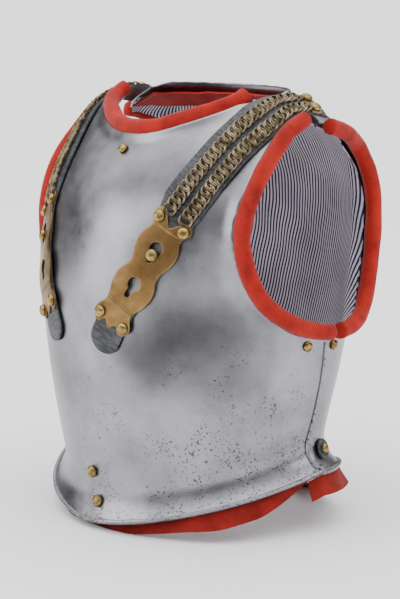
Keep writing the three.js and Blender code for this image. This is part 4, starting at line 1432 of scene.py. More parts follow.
HIP_SHARE = TORSO.rim_side / TORSO.body_height
BREAST_OUTLINE = PlateOutline(0.0, SIDE_LINE, NECK_LINE, SHOULDER_LINE, ARM_LINE)
BACK_OUTLINE = PlateOutline(
    180.0, upright(LAP_DEGREES, HIP_SHARE, ARMPIT_HEIGHT), BACK_NECK_LINE, BACK_SHOULDER_LINE, BACK_ARM_LINE
)
LINING_RAISE = 14.0
BREAST_LINING_OUTLINE = PlateOutline(
    0.0, upright(82.0, HIP_SHARE, 0.459), NECK_LINE, SHOULDER_LINE, Line(ARM_POINTS[1:]), LINING_RAISE
)
BACK_LINING_OUTLINE = PlateOutline(
    180.0,
    upright(LAP_DEGREES, HIP_SHARE, ARMPIT_HEIGHT),
    Line([(180, 0.968), (150, 0.968), (120, 0.968), (89, 0.968)]),
    Line([(89, 0.968), (93, 0.95), (97, 0.932)]),
    BACK_ARM_LINE,
    LINING_RAISE,
)


class BodySheet:
    """The flat of one plate or lining: its outline filled with triangles, in near millimetres.

    Heights on the flat are arc lengths of the torso's profile this far round from the plate's middle.
    """

    REFERENCE_DEGREES = 40.0

    def __init__(self, outline: PlateOutline, spacing: float, rings: Sequence[float]) -> None:
        """Fills the outline.

        Args:
            outline: The half outline.
            spacing: The distance wanted between points.
            rings: Distances from the border at which rows of points follow it.
        """
        self.outline = outline
        self.middle = math.radians(outline.middle_degrees)
        lean = math.radians(self.REFERENCE_DEGREES)
        reference = self.middle + (lean if self.middle < 1 else -lean)
        self.rows = np.linspace(-1.5, len(SECTIONS), 900)
        path = TORSO.point(np.full_like(self.rows, reference), self.rows)
        self.arcs = measured(path)
        half = outline.half()
        parts = [half["hem"]] + [half[name][1:] for name in ("side", "arm", "shoulder", "neck")]
        walk = np.concatenate(parts)
        flat = self.to_flat(walk[:, 0], walk[:, 1])
        mirrored = flat[::-1] * np.array([-1, 1])
        loop = np.concatenate([flat, mirrored[1:-1]])
        steps = np.linalg.norm(np.diff(loop, axis=0, append=loop[:1]), axis=1)
        loop = loop[steps > 1e-6]
        area = 0.5 * np.sum(loop[:, 0] * np.roll(loop[:, 1], -1) - np.roll(loop[:, 0], -1) * loop[:, 1])
        if area < 0:
            loop = loop[::-1]
        self.flat, self.faces, self.loops = filled([loop], spacing, rings)
        self.angle, self.section = self.from_flat(self.flat)

    def to_flat(self, angle: Points, section: Points) -> Points:
        """Lays angles and sections flat.

        Args:
            angle: Angles round the body, in radians.
            section: Fractional rows of the section table.

        Returns:
            Flat points, in near millimetres, with the plate's middle at 0.
        """
        return np.stack(
            [(angle - self.middle) * TORSO.map_round, np.interp(section, self.rows, self.arcs)], -1
        )

    def from_flat(self, flat: Points) -> tuple[Points, Points]:
        """Reads flat points back.

        Args:
            flat: Flat points.

        Returns:
            Their angles and sections.
        """
        return flat[:, 0] / TORSO.map_round + self.middle, np.interp(flat[:, 1], self.arcs, self.rows)

    def border(self, name: str, count: int = 240) -> Points:
        """Gives points in space along one named border of both halves.

        Args:
            name: hem, side, arm, shoulder or neck.
            count: The number of points on each half.

        Returns:
            Points on the torso, with each point's share along the border as a fourth value.
        """
        half = self.outline.half()[name]
        t = np.linspace(0, 1, len(half))
        walk = np.linspace(0, 1, count)
        angle = np.interp(walk, t, half[:, 0])
        section = np.interp(walk, t, half[:, 1])
        points = TORSO.point(angle, section)
        other = points * np.array([-1, 1, 1])
        return np.concatenate([np.column_stack([points, walk]), np.column_stack([other, walk])])

    def lip(self, name: str, height: float, width: float, fade: Callable[[Points], Points]) -> Points:
        """Measures a lip that turns out along a border.

        Args:
            name: The border's name.
            height: The lip's height at the edge.
            width: How far in it starts.
            fade: The lip's share of its height, from shares along the border.

        Returns:
            How far each point of the sheet is turned out.
        """
        border = self.border(name)
        away, which = nearest_distance(TORSO.point(self.angle, self.section), border[:, :3])
        return height * np.clip(1 - away / width, 0, 1) ** 2 * fade(border[which, 3])


def grid_slab(outer: Points, inner: Points) -> tuple[Points, Faces, float, float]:
    """Closes two grids of points into one sheet of cloth.

    Args:
        outer: The outer face's points, as rows and columns.
        inner: The inner face's points.

    Returns:
        The sheet's points and faces, the length of its first row and its mean width.
    """
    rows, columns = outer.shape[:2]
    faces: Faces = [
        (j * columns + i, j * columns + i + 1, (j + 1) * columns + i + 1, (j + 1) * columns + i)
        for j in range(rows - 1)
        for i in range(columns - 1)
    ]
    count = rows * columns
    body = faces + [tuple(v + count for v in reversed(face)) for face in faces]
    border = list(range(columns)) + [j * columns + columns - 1 for j in range(1, rows)]
    border += [(rows - 1) * columns + i for i in range(columns - 2, -1, -1)]
    border += [j * columns for j in range(rows - 2, 0, -1)]
    for a, b in zip(border, border[1:] + border[:1]):
        body.append((b, a, a + count, b + count))
    length = float(measured(outer[0])[-1])
    width = float(np.linalg.norm(np.diff(outer, axis=0), axis=2).sum(0).mean())
    return np.concatenate([outer.reshape(-1, 3), inner.reshape(-1, 3)]), body, length, width


def smooth_step(value: Points, low: float, high: float) -> Points:
    """Rises smoothly from 0 at `low` to 1 at `high`."""
    t = np.clip((value - low) / (high - low), 0, 1)
    return t * t * (3 - 2 * t)


def arm_fade(share: Points) -> Points:
    """Fades the arm's turned-out edge out at the armpit and towards the shoulder."""
    return smooth_step(share, 0.1, 0.28) * (1 - smooth_step(share, 0.5, 0.74))


def neck_fade(share: Points) -> Points:
    """Fades the neck's turned-out edge out at the start of its line."""
    return smooth_step(share, 0.02, 0.3)


NECK_LIP_WIDTH = 14.0
ARM_LIP_WIDTH = 18.0


@dataclass
class SteelPlate:
    """The breastplate or the backplate: a beaten sheet with a turned-out edge, and a bead along its hem."""

    name: str
    outline: PlateOutline
    lift: float
    wall: float
    neck_lip: float = 5.0
    arm_lip: float = 10.0
    spacing: float = 3.0
    bead_radius: float = 2.1
    bead_raise: float = 0.6
    side_bead_radius: float = 1.5
    bead_hem: float = 3.0
    beaded_side: bool = True

    def build(self) -> tuple[Points, Faces, Points]:
        """Builds the plate.

        Returns:
            Its points, its faces, and each point's distance from the hem.
        """
        sheet = BodySheet(self.outline, self.spacing, (0.8, 2.0, 3.8, 6.2, 9.0, 12.0))
        out = self.lift + sheet.lip("neck", self.neck_lip, NECK_LIP_WIDTH, neck_fade)
        out = out + sheet.lip("arm", self.arm_lip, ARM_LIP_WIDTH, arm_fade)
        outer = TORSO.lifted(sheet.angle, sheet.section, out)
        normals = vertex_normals(outer, sheet.faces)
        border = np.concatenate([sheet.flat[loop] for loop in sheet.loops])
        edge, _ = nearest_distance(sheet.flat, border)
        round_off = 0.45 * np.clip(1 - edge / 0.9, 0, 1)
        hem, _ = nearest_distance(TORSO.point(sheet.angle, sheet.section), sheet.border("hem")[:, :3])
        inner = outer - normals * (self.wall - round_off)[:, None]
        outer = outer - normals * round_off[:, None]
        points, faces = slab(outer, inner, sheet.faces, sheet.loops)
        return points, faces, np.concatenate([hem, hem])

    def bead(self) -> tuple[Points, Faces]:
        """Builds the rolled bead along the hem, and a thinner one up the sides where they show.

        Returns:
            Its points and faces.
        """
        half = self.outline.half()
        side = half["side"][1:-2] if self.beaded_side else half["side"][:0]
        walk = np.concatenate([half["hem"], side])
        sizes = (self.bead_radius, self.side_bead_radius)
        radii = np.repeat(sizes, (len(half["hem"]), len(side)))
        radii = np.convolve(np.pad(radii, 4, mode="edge"), np.full(9, 1 / 9), "valid")
        radii = np.concatenate([radii[::-1][:-1], radii])
        middle = math.radians(self.outline.middle_degrees)
        mirrored = walk[::-1].copy()
        mirrored[:, 0] = 2 * middle - mirrored[:, 0]
        both = np.concatenate([mirrored[:-1], walk])
        angle, section = both[:, 0], both[:, 1]
        edge = TORSO.lifted(angle, section, np.full(len(angle), self.lift + self.bead_raise))
        normal = TORSO.normal(angle, section)
        ahead = np.gradient(edge, axis=0)
        ahead /= np.linalg.norm(ahead, axis=1, keepdims=True)
        inwards = np.cross(normal, ahead)
        towards = TORSO.point(np.full(len(angle), middle), np.full(len(angle), 6.0)) - edge
        inwards *= np.sign((inwards * towards).sum(1, keepdims=True))
        centres = edge + inwards * radii[:, None] * 0.9

        def section_round(turn: Points, share: Points) -> tuple[Points, Points]:
            """Gives the bead's round section."""
            size = np.repeat(radii[:, None], turn.shape[1], 1)
            return size * np.cos(2 * math.pi * turn), size * np.sin(2 * math.pi * turn)

        return tube(centres, normal, section_round, 10)

    def dress(self) -> None:
        """Makes the plate and its bead."""
        points, faces, hem = self.build()
        make_piece(self.name + "_steel", points, faces, STEEL, [self.name], edge=hem)
        points, faces = self.bead()
        hem = np.full(len(points), self.bead_hem)
        make_piece(self.name + "_bead", points, faces, STEEL, edge=hem)


@dataclass
class Lining:
    """A ticking lining, quilted to the plate's inside, with loose folds that its stripes follow.

    The cloth lies looser from one section of the torso to another, and its stripes are spaced at the chest.
    """

    name: str
    outline: PlateOutline
    lift: float
    fold: float = 1.6
    wall: float = 1.2
    spacing: float = 3.6
    gather: float = 0.12
    neck_lip: float = 0.0
    arm_lip: float = 10.6
    neck_hold: float = 30.0
    seat: float = 0.3
    loose_from: float = 5.5
    loose_full: float = 9.5
    chest_share: float = 0.62
    flat_size: tuple[float, float] = (560.0, 420.0)

    def build(self) -> tuple[Points, Faces, Points, float]:
        """Builds the lining.

        Returns:
            Its points, faces, flat coordinates and the area of one side in square millimetres.
        """
        sheet = BodySheet(self.outline, self.spacing, (1.5, 3.5))
        turn = sheet.angle - sheet.middle
        up = sheet.flat[:, 1]
        high = smooth_step(sheet.section, self.loose_from, self.loose_full)
        waves = ripples(2.1, (up, 150.0), (turn, 2.2))
        small = ripples(4.7, (up, 60.0), (turn, 0.55))
        broad = ripples(1.3, (turn, 0.32), (up, 420.0))
        folds = self.fold * (0.55 * broad + 0.45 * small) * (0.5 + 0.8 * high)
        loose = 1 - sheet.lip("neck", 1.0, self.neck_hold, np.ones_like)
        turned = sheet.lip("arm", self.arm_lip, ARM_LIP_WIDTH, arm_fade)
        turned = turned + sheet.lip("neck", self.neck_lip, NECK_LIP_WIDTH, neck_fade)
        sag = (folds - self.fold - 1.0) * loose
        outer = TORSO.lifted(sheet.angle, sheet.section, self.lift - self.seat + sag + turned)
        normals = vertex_normals(outer, sheet.faces)
        inner = outer - normals * self.wall
        points, faces = slab(outer, inner, sheet.faces, sheet.loops)
        turns = np.linspace(0, math.pi / 2 + 0.2, 200)
        level = float(TORSO.section_at(np.array(self.chest_share)))
        chest = TORSO.point(sheet.middle + turns, np.full(len(turns), level))
        u = np.sign(turn) * np.interp(np.abs(turn), turns, measured(chest))
        u = u * (1 - self.gather * high) + 1.8 * waves * (1 + 1.5 * high) + 0.8 * small
        flat = np.stack([u, up], -1)
        triangles = np.array(sheet.faces)
        a, b, c = (outer[triangles[:, k]] for k in range(3))
        area = 0.5 * np.linalg.norm(np.cross(b - a, c - a), axis=1).sum()
        return points, faces, np.concatenate([flat, flat]), float(area)

    def dress(self) -> None:
        points, faces, flat, area = self.build()
        piece = make_piece(
            self.name + "_cloth", points, faces, TICKING, [self.name], flat=flat
        )


@dataclass
class EdgeRoll:
    """A stuffed cloth roll along a plate's edge, from `start` to `end` as shares of its line.

    Its middle lies `reach` past the edge and `lift` off the plate, or `top_lift` at the line's upper end.
    With no side it runs over both halves of the neck.
    """

    name: str
    line: Line
    start: float
    end: float
    base: float = 0.0
    lift: float = 13.0
    top_lift: float = 5.0
    reach: float = 9.0
    outwards: int = 1
    side: Side | None = None
    radius: float = 8.0
    flap: float = 2.4
    fill: float = 0.85
    pucker_pitch: float = 34.0
    gather_pitch: float = 9.0
    drawn_end: float = 0.3
    sides: int = 28
    count: int = 150

    def path(self) -> tuple[Points, Points]:
        """Walks the roll's middle.

        Returns:
            Its points and the body's normals there.
        """
        if self.side is None:
            walk = np.linspace(2 * self.start - 1, 2 * self.end - 1, self.count)
            angle, section = self.line.at(np.abs(walk))
            angle = angle * np.sign(walk)
        else:
            walk = np.linspace(self.start, self.end, self.count)
            angle, section = self.line.at(walk)
        lift = self.lift + (self.top_lift - self.lift) * smooth_step(walk, 0.5, 0.78)
        spot = TORSO.lifted(angle, section, np.full(self.count, self.base))
        normal = TORSO.normal(angle, section)
        along = np.gradient(spot, axis=0)
        beyond = np.cross(normal, along)
        beyond /= np.linalg.norm(beyond, axis=1, keepdims=True)
        return spot + beyond * self.reach * self.outwards + normal * lift[:, None], normal

    def build(self) -> tuple[Points, Faces]:
        """Builds the roll.

        Returns:
            Its points and faces.
        """
        centres, normal = self.path()
        for _ in range(6):
            centres[1:-1] = 0.5 * centres[1:-1] + 0.25 * (centres[:-2] + centres[2:])
        length = float(measured(centres)[-1])
        seed = float(sum(map(ord, self.name)) % 17)

        def section_round(turn: Points, share: Points) -> tuple[Points, Points]:
            """Gives the roll's section, with gathers at the seam and drawn-in ends."""
            phase = 2 * math.pi * turn
            run = share * length
            gathers = np.sin(2 * math.pi * run / self.gather_pitch + seed) * (0.5 + 0.5 * np.cos(phase - 2.4))
            pucker = 0.3 * ripples(seed, (run, self.pucker_pitch)) + 0.05 * gathers
            from_end = np.minimum(run, length - run) / (self.drawn_end * self.radius)
            close = np.sqrt(np.clip(1 - np.clip(1 - from_end, 0, 1) ** 2, 0.45, 1))
            seam = 0.5 * np.exp(-(((turn - 0.4) * 14) ** 2))
            towards_edge = math.atan2(-0.5 * (self.lift + self.top_lift), self.outwards * self.reach)
            turned = (phase - towards_edge + math.pi) % (2 * math.pi) - math.pi
            flap = self.flap * np.exp(-((turned / 0.55) ** 2))
            size = (self.radius * (0.99 + 0.02 * np.cos(2 * phase)) + pucker - seam + flap) * close
            return size * np.cos(phase), size * np.sin(phase)

        return tube(centres, normal, section_round, self.sides)

    def dress(self) -> None:
        points, faces = self.build()
        piece = make_piece(self.name + "_cloth", points, faces, WOOL, [self.name], self.side)


@dataclass
class Skirt:
    """A cloth skirt inside the flare of a plate, which shows below the hem.

    `drops` gives how far it hangs below the rim at angles in degrees, and `tucks` how far it is drawn in.
    """

    name: str
    lift: float
    drops: tuple[tuple[float, float], ...]
    tucks: tuple[tuple[float, float], ...] = ((0.0, 0.0),)
    above: float = 20.0
    wall: float = WALLS.cloth
    columns: int = 260
    rows: int = 14

    def build(self) -> tuple[Points, Faces, float, float]:
        """Builds the skirt.

        Returns:
            Its points, faces, the length of its hem and its width, in millimetres.
        """
        turns, drops = np.array(self.drops).T
        angles = np.linspace(turns[0], turns[-1], self.columns)
        drop = np.interp(angles, turns, drops)
        drop[3:-3] = np.convolve(drop, np.full(7, 1 / 7), "valid")
        tuck = np.interp(np.abs(angles), *np.array(self.tucks).T)
        level = np.linspace(0, 1, self.rows)[:, None] * (self.above + drop) - drop
        angle = np.broadcast_to(np.radians(angles), level.shape)
        height = np.maximum(TORSO.rim(angle) + level, 0.6)
        section = TORSO.section_at(height / TORSO.body_height)
        below = np.clip(-level / 20, 0, 1)
        lift = self.lift - tuck + 0.9 * below * ripples(3.3, (angle * 150, 70.0))
        outer = TORSO.lifted(angle, section, lift)
        inner = TORSO.lifted(angle, section, lift - self.wall)
        points, faces, length, width = grid_slab(outer, inner)
        points[:, 2] = np.maximum(points[:, 2], 0.2)
        return points, faces, length, width

    def dress(self) -> None:
        points, faces, length, width = self.build()
        # The skirts take the darker copy of the wool, with painted shade.
        piece = make_piece(self.name + "_cloth", points, faces, SHADED_SKIRT_WOOL, [self.name])


FRONT_SKIRT_HALF = (
    (20.0, 8.0), (26.0, 9.0), (39.0, 11.5), (52.0, 17.0), (67.0, 16.0), (75.0, 10.0), (83.0, 2.0),
    (86.0, 0.5),
)
FRONT_SKIRT_DROPS = (
    *((-angle, drop) for angle, drop in reversed(FRONT_SKIRT_HALF)),
    (0.0, 6.0),
    *FRONT_SKIRT_HALF,
)
FRONT_SKIRT_TUCKS = ((0.0, 9.0), (24.0, 8.0), (42.0, 0.0))
BACK_SKIRT_DROPS = ((85.0, 20.0), (275.0, 20.0))


@dataclass
class NeckBand:
    """The cloth band inside the back of the neck."""

    name: str = "back_neck_band"
    from_degrees: float = 92.0
    to_degrees: float = 268.0
    height: float = 17.0
    lift: float = -10.6
    wall: float = WALLS.cloth
    columns: int = 160
    rows: int = 12

    def build(self) -> tuple[Points, Faces, float, float]:
        """Builds the band.

        Returns:
            Its points, faces, length and width.
        """
        angles = np.radians(np.linspace(self.from_degrees, self.to_degrees, self.columns))
        low = BACK_NECK_HEIGHT - self.height / TORSO.body_height
        shares = np.linspace(low, BACK_NECK_HEIGHT - 0.004, self.rows)
        angle, share = np.meshgrid(angles, shares)
        section = TORSO.section_at(share)
        lift = self.lift + 0.5 * ripples(5.1, (angle * 110, 45.0), (section * 20, 60.0))
        return grid_slab(
            TORSO.lifted(angle, section, lift), TORSO.lifted(angle, section, lift - self.wall)
        )

    def dress(self) -> None:
        points, faces, length, width = self.build()
        piece = make_piece(self.name + "_cloth", points, faces, WOOL, [self.name])


@dataclass
class StrapPath:
    """The middle line of the wearer's left strap, from its rounded tip to the back of the shoulder."""

    points: tuple[tuple[float, float], ...] = (
        (11.5, 0.425), (17.5, 0.505), (24.5, 0.583), (29.5, 0.651), (33.8, 0.717), (38, 0.775),
        (42, 0.83), (47.5, 0.885), (56, 0.925), (70, 0.952), (88, 0.958), (104, 0.95),
    )
    length: float = field(init=False)
    _run: Points = field(init=False, repr=False)
    _angle: Points = field(init=False, repr=False)
    _section: Points = field(init=False, repr=False)

    def __post_init__(self) -> None:
        """Walks the line and measures it."""
        line = Line(self.points)
        self._angle = line.samples[:, 0] / TORSO.map_round
        self._section = line.samples[:, 1] / TORSO.map_up
        spots = TORSO.point(self._angle, self._section)
        self._run = measured(spots)
        self.length = float(self._run[-1])

    def middle(self, run: Points) -> tuple[Points, Points]:
        """Gives the angle and section at runs along the line."""
        return np.interp(run, self._run, self._angle), np.interp(run, self._run, self._section)

    def place(self, run: Points, offset: Points, lift: Points) -> Points:
        """Places points of the strap.

        Args:
            run: Distances along the strap from its tip.
            offset: Distances towards the arm.
            lift: Distances off the torso surface.

        Returns:
            The points in space.
        """
        run, offset, lift = np.broadcast_arrays(
            np.asarray(run, float), np.asarray(offset, float), np.asarray(lift, float)
        )
        angle, section = self.middle(run)
        low = np.clip(run - 10, 0, self.length - 1)
        high = np.clip(run + 10, 1, self.length)
        ahead = TORSO.point(*self.middle(high)) - TORSO.point(*self.middle(low))
        ahead /= np.linalg.norm(ahead, axis=-1, keepdims=True)
        normal = TORSO.normal(angle, section)
        sideways = np.cross(ahead, normal)
        sideways /= np.linalg.norm(sideways, axis=-1, keepdims=True)
        step = 0.002
        round_body = (TORSO.point(angle + step, section) - TORSO.point(angle - step, section)) / (2 * step)
        up = (TORSO.point(angle, section + step) - TORSO.point(angle, section - step)) / (2 * step)
        rr, ru, uu = ((round_body * round_body).sum(-1), (round_body * up).sum(-1), (up * up).sum(-1))
        rs = (round_body * sideways).sum(-1) * offset
        us = (up * sideways).sum(-1) * offset
        whole = rr * uu - ru * ru
        angle = angle + (rs * uu - us * ru) / whole
        return TORSO.lifted(angle, section + (us * rr - rs * ru) / whole, lift)


STRAP = StrapPath()


@dataclass
class ShoulderStrap:
    """One shoulder strap: leather, keyhole plate, two rows of chain, end plate, rivets and stud."""

    side: Side
    seat: float = 1.6
    wall: float = 2.2
    half_width: float = 17.0
    inner_margin: float = 27.0
    outer_margin: float = 19.0
    tail: float = 12.0
    chain_offset: float = 9.5
    link_half_width: float = 6.3
    link_half_length: float = 5.0
    link_pitch: float = 6.7
    link_wire: float = 0.72
    link_twist: float = 1.25
    link_double: float = 0.85
    wire_sides: int = 7
    chain_height: float = 4.0
    plate_wall: float = 1.4
    plate_start: float = 28.0
    plate_length: float = 128.0
    rivet_offset: float = 14.5
    lower_rivets: float = 37.0
    upper_rivets: float = 147.0
    keyhole_radius: float = 6.8
    slot_half: float = 3.1
    slot_reach: float = 12.0
    upper_keyhole: float = 120.0
    lower_keyhole: float = 80.0
    rivet_radius: float = 6.0
    rivet_height: float = 4.2
    stud_radius: float = 6.2
    stud_height: float = 4.6
    stud_shift: float = 5.0
    head_shank: float = 0.8
    head_seat: float = 0.15
    brass_spacing: float = 1.8
    hide_spacing: float = 2.6

    @property
    def plate_seat(self) -> float:
        """How far the underside of the brass lies off the torso surface."""
        return self.seat + self.wall + WALLS.seat_gap

    def named(self, name: str) -> str:
        """Gives a solid's name on this side."""
        return f"{name}_{self.side.name.lower()}"

    def made(
        self, name: str, stuff: str, points: Points, faces: Faces, finish: Finish, flat: Points | None = None
    ) -> None:
        """Makes one of the strap's pieces.

        Args:
            name: The solid that it stands for, without its side.
            stuff: What it is made of, for the end of its name.
            points: The points of the wearer's left piece.
            faces: Its faces.
            finish: Its finish.
            flat: Flat coordinates of each point.
        """
        solid = self.named(name)
        make_piece(f"{solid}_{stuff}", points, faces, finish, [solid], self.side, flat=flat)

    def keyhole(self, run: float, grow: float) -> Points:
        """Draws a keyhole, clockwise: round for the stud's head, with a slot towards the strap's tip.

        Args:
            run: The middle of its round part.
            grow: How much wider than the plate's keyhole it is.

        Returns:
            Its outline as runs and offsets.
        """
        radius, half = self.keyhole_radius + grow, self.slot_half + grow
        lean = math.asin(half / radius)
        big = np.linspace(math.pi - lean, -math.pi + lean, 36)
        small = np.linspace(-math.pi / 2, -3 * math.pi / 2, 14)
        head = np.stack([run + radius * np.cos(big), radius * np.sin(big)], -1)
        foot = np.stack([run - self.slot_reach + half * np.cos(small), half * np.sin(small)], -1)
        return np.concatenate([head, foot])

    def flat_piece(
        self, loops: Sequence[Points], spacing: float, low: float, high: float, bevel: float
    ) -> tuple[Points, Faces, Points]:
        """Lays a flat outline on the strap's line.

        Args:
            loops: The outline and its holes, as runs and offsets.
            spacing: The distance wanted between points.
            low: The underside's distance off the torso.
            high: The top's distance off the torso.
            bevel: How far its upper edges are rounded down.

        Returns:
            Its points, faces and flat coordinates.
        """
        rings = (bevel, 2.2 * bevel)
        flat, faces, indices = filled(loops, spacing, rings)
        border = np.concatenate([flat[loop] for loop in indices])
        away, _ = nearest_distance(flat, border)
        down = bevel * 0.6 * np.clip(1 - away / (2 * bevel), 0, 1) ** 2
        outer = STRAP.place(flat[:, 0], flat[:, 1], high - down)
        inner = STRAP.place(flat[:, 0], flat[:, 1], np.full(len(flat), low))
        points, body = slab(outer, inner, faces, indices)
        out = STRAP.place(flat[0, 0], flat[0, 1], high + 1) - STRAP.place(flat[0, 0], flat[0, 1], high)
        if np.dot(vertex_normals(outer, faces)[0], out) < 0:
            body = [tuple(reversed(face)) for face in body]
        return points, body, np.concatenate([flat, flat])

    def leather(self) -> tuple[Points, Faces, Points]:
        """Builds the leather.

        Returns:
            Its points, faces and flat coordinates.
        """
        tip = np.linspace(math.pi / 2, 3 * math.pi / 2, 30)
        rounded = np.stack([14 + 14 * np.cos(tip), self.half_width * np.sin(tip)], -1)
        top = self.upper_rivets
        end = STRAP.length
        lower = [
            (top - 6, -self.half_width), (top + 6, 6 - self.inner_margin),
            (top + 20, 1 - self.inner_margin), (top + 34, -self.inner_margin),
            (end - 40, 2 - self.inner_margin), (end, -self.outer_margin),
        ]
        upper = [
            (end, self.outer_margin), (top + 34, self.outer_margin), (top + 14, self.outer_margin),
            (top - 6, self.half_width),
        ]
        loop = np.concatenate([rounded, np.array(lower), np.array(upper)])
        holes = [self.keyhole(self.upper_keyhole, 1.0), self.keyhole(self.lower_keyhole, 1.0)]
        return self.flat_piece([loop, *holes], self.hide_spacing, self.seat, self.seat + self.wall, 0.9)

    def plate_outline(self) -> Points:
        """Draws the keyhole plate: lobes round the rivets, bulges round the keyholes, a notch and two toes.

        Returns:
            Its outline, counter-clockwise, as runs and offsets.
        """
        start, length = self.plate_start, self.plate_length
        rows = np.array(
            [
                (0, 15.5), (3, 19), (8, 21.5), (14, 20.5), (22, 16), (30, 17), (39, 20.5), (49, 22),
                (58, 20.5), (66, 16.5), (74, 17), (83, 20.5), (92, 22), (101, 20.5), (108, 17), (114, 18),
                (120, 21.5), (125, 21), (128, 17),
            ],
            float,
        )
        t = np.linspace(0, len(rows) - 1, 130)
        side = catmull_rom(rows, t)
        side[:, 0] += start
        notch = np.array(
            [(length, 12.5), (length - 3, 9.5), (length - 6, 6.5), (length - 10, 3.4), (length - 13, 0.0)]
        )
        notch = np.concatenate([notch, notch[-2::-1] * np.array([1, -1])])
        notch[:, 0] += start
        turns = np.linspace(0, 2 * math.pi, 61)
        toes = np.stack([start + 3.0 - 3.2 * np.cos(2 * turns), 13.0 * (1 - turns / math.pi)], -1)
        return np.concatenate([side * np.array([1, -1]), notch[::-1], side[::-1], toes])

    def wire_section(self, turn: Points, share: Points) -> tuple[Points, Points]:
        """Gives the chain wire's round section."""
        return self.link_wire * np.cos(2 * math.pi * turn), self.link_wire * np.sin(2 * math.pi * turn)

    def chain_row(self, offset: float) -> tuple[Points, Faces]:
        """Builds one row of curb chain: doubled round links, each twisted to lie over and under the next.

        Args:
            offset: The row's distance towards the arm.

        Returns:
            Its points and faces.
        """
        start = self.plate_start + self.plate_length - 1.0
        end = STRAP.length - self.tail - 7.0
        count = round((end - start) / self.link_pitch)
        middle = self.plate_seat + WALLS.seat_gap + self.chain_height / 2
        turns = np.linspace(0, 2 * math.pi, 28, endpoint=False)
        parts: list[Points] = []
        faces: Faces = []
        for i, shift in ((i, shift) for i in range(count) for shift in (-0.5, 0.5)):
            run = start + (i + 0.5) * (end - start) / count + shift * 2 * self.link_double
            uneven = 0.35 * math.sin(2.3 * i + offset)
            line = np.stack(
                [
                    run + (self.link_half_length + 0.2 * uneven) * np.cos(turns),
                    offset + self.link_half_width * np.sin(turns) + 0.3 * uneven,
                    middle + self.link_twist * np.sin(2 * turns) + 0.5 * shift,
                ],
                -1,
            )
            spots = STRAP.place(line[:, 0], line[:, 1], line[:, 2])
            ups = STRAP.place(line[:, 0], line[:, 1], line[:, 2] + 1) - spots
            points, link = tube(spots, ups, self.wire_section, self.wire_sides, closed=True)
            base = sum(len(part) for part in parts)
            parts.append(points)
            faces += [tuple(v + base for v in face) for face in link]
        return np.concatenate(parts), faces

    def heads(
        self, spots: Sequence[tuple[float, float]], radius: float, height: float, names: Sequence[str]
    ) -> None:
        """Sets round heads on the brass.

        Args:
            spots: Each head's run and offset.
            radius: Their radius.
            height: Their height.
            names: The solids that they stand for.
        """
        for (run, offset), name in zip(spots, names):
            lift = self.plate_seat + self.plate_wall + self.head_seat
            spot = STRAP.place(run, offset, lift)
            normal = STRAP.place(run, offset, lift + 1) - spot
            points, faces = dome(radius, height, self.head_shank)
            self.made(name, "brass", set_at(points, spot, normal), faces, STUD_BRASS)

    def dress(self) -> None:
        """Makes every piece of the strap."""
        points, faces, flat = self.leather()
        self.made("strap_leather", "hide", points, faces, LEATHER, flat)
        shoulder = STRAP.length - self.tail
        end_plate = np.array(
            [
                (shoulder - 6, -18), (shoulder + 4.5, -18.5), (shoulder + 6, -17), (shoulder + 6, 17),
                (shoulder + 4.5, 18.5), (shoulder - 6, 18),
            ],
            float,
        )
        holes = [self.keyhole(self.upper_keyhole, 0.0), self.keyhole(self.lower_keyhole, 0.0)]
        low, high = self.plate_seat, self.plate_seat + self.plate_wall
        for name, loops, bevel in (
            ("keyhole_plate", [self.plate_outline(), *holes], 0.6),
            ("shoulder_plate", [end_plate], 0.5),
        ):
            points, faces, flat = self.flat_piece(loops, self.brass_spacing, low, high, bevel)
            self.made(name, "brass", points, faces, PLATE_BRASS, flat)
        for name, offset in (("inner_chain", -self.chain_offset), ("outer_chain", self.chain_offset)):
            points, faces = self.chain_row(offset)
            self.made(name, "links", points, faces, CHAIN_BRASS)
        corners = [
            (run, offset)
            for run in (self.lower_rivets, self.upper_rivets)
            for offset in (-self.rivet_offset, self.rivet_offset)
        ]
        names = [f"plate_rivet_{i}" for i in (1, 2, 3, 4)]
        self.heads(corners, self.rivet_radius, self.rivet_height, names)
        ends = [(shoulder, -self.chain_offset), (shoulder, self.chain_offset)]
        self.heads(ends, self.rivet_radius, self.rivet_height, ["shoulder_rivet_1", "shoulder_rivet_2"])
        stud_run = self.upper_keyhole - self.slot_reach + self.stud_shift
        self.heads([(stud_run, 0.0)], self.stud_radius, self.stud_height, ["keyhole_stud"])


FRONT_STUD_SEAT = 1.2


@dataclass(frozen=True)
class BodyStud:
    """A brass stud set in the steel."""

    name: str
    degrees: float
    share: float
    lift: float
    radius: float = 5.2
    height: float = 3.8
    shank: float = 1.2

    def dress(self, side: Side) -> None:
        """Makes the stud.

        Args:
            side: The side that it is on.
        """
        angle = np.array(math.radians(self.degrees))
        section = TORSO.section_at(np.array(self.share))
        spot = TORSO.lifted(angle, section, self.lift)
        points, faces = dome(self.radius, self.height, self.shank)
        points = set_at(points, spot, TORSO.normal(angle, section))
        make_piece(self.name + "_brass", points, faces, STUD_BRASS, [self.name], side)


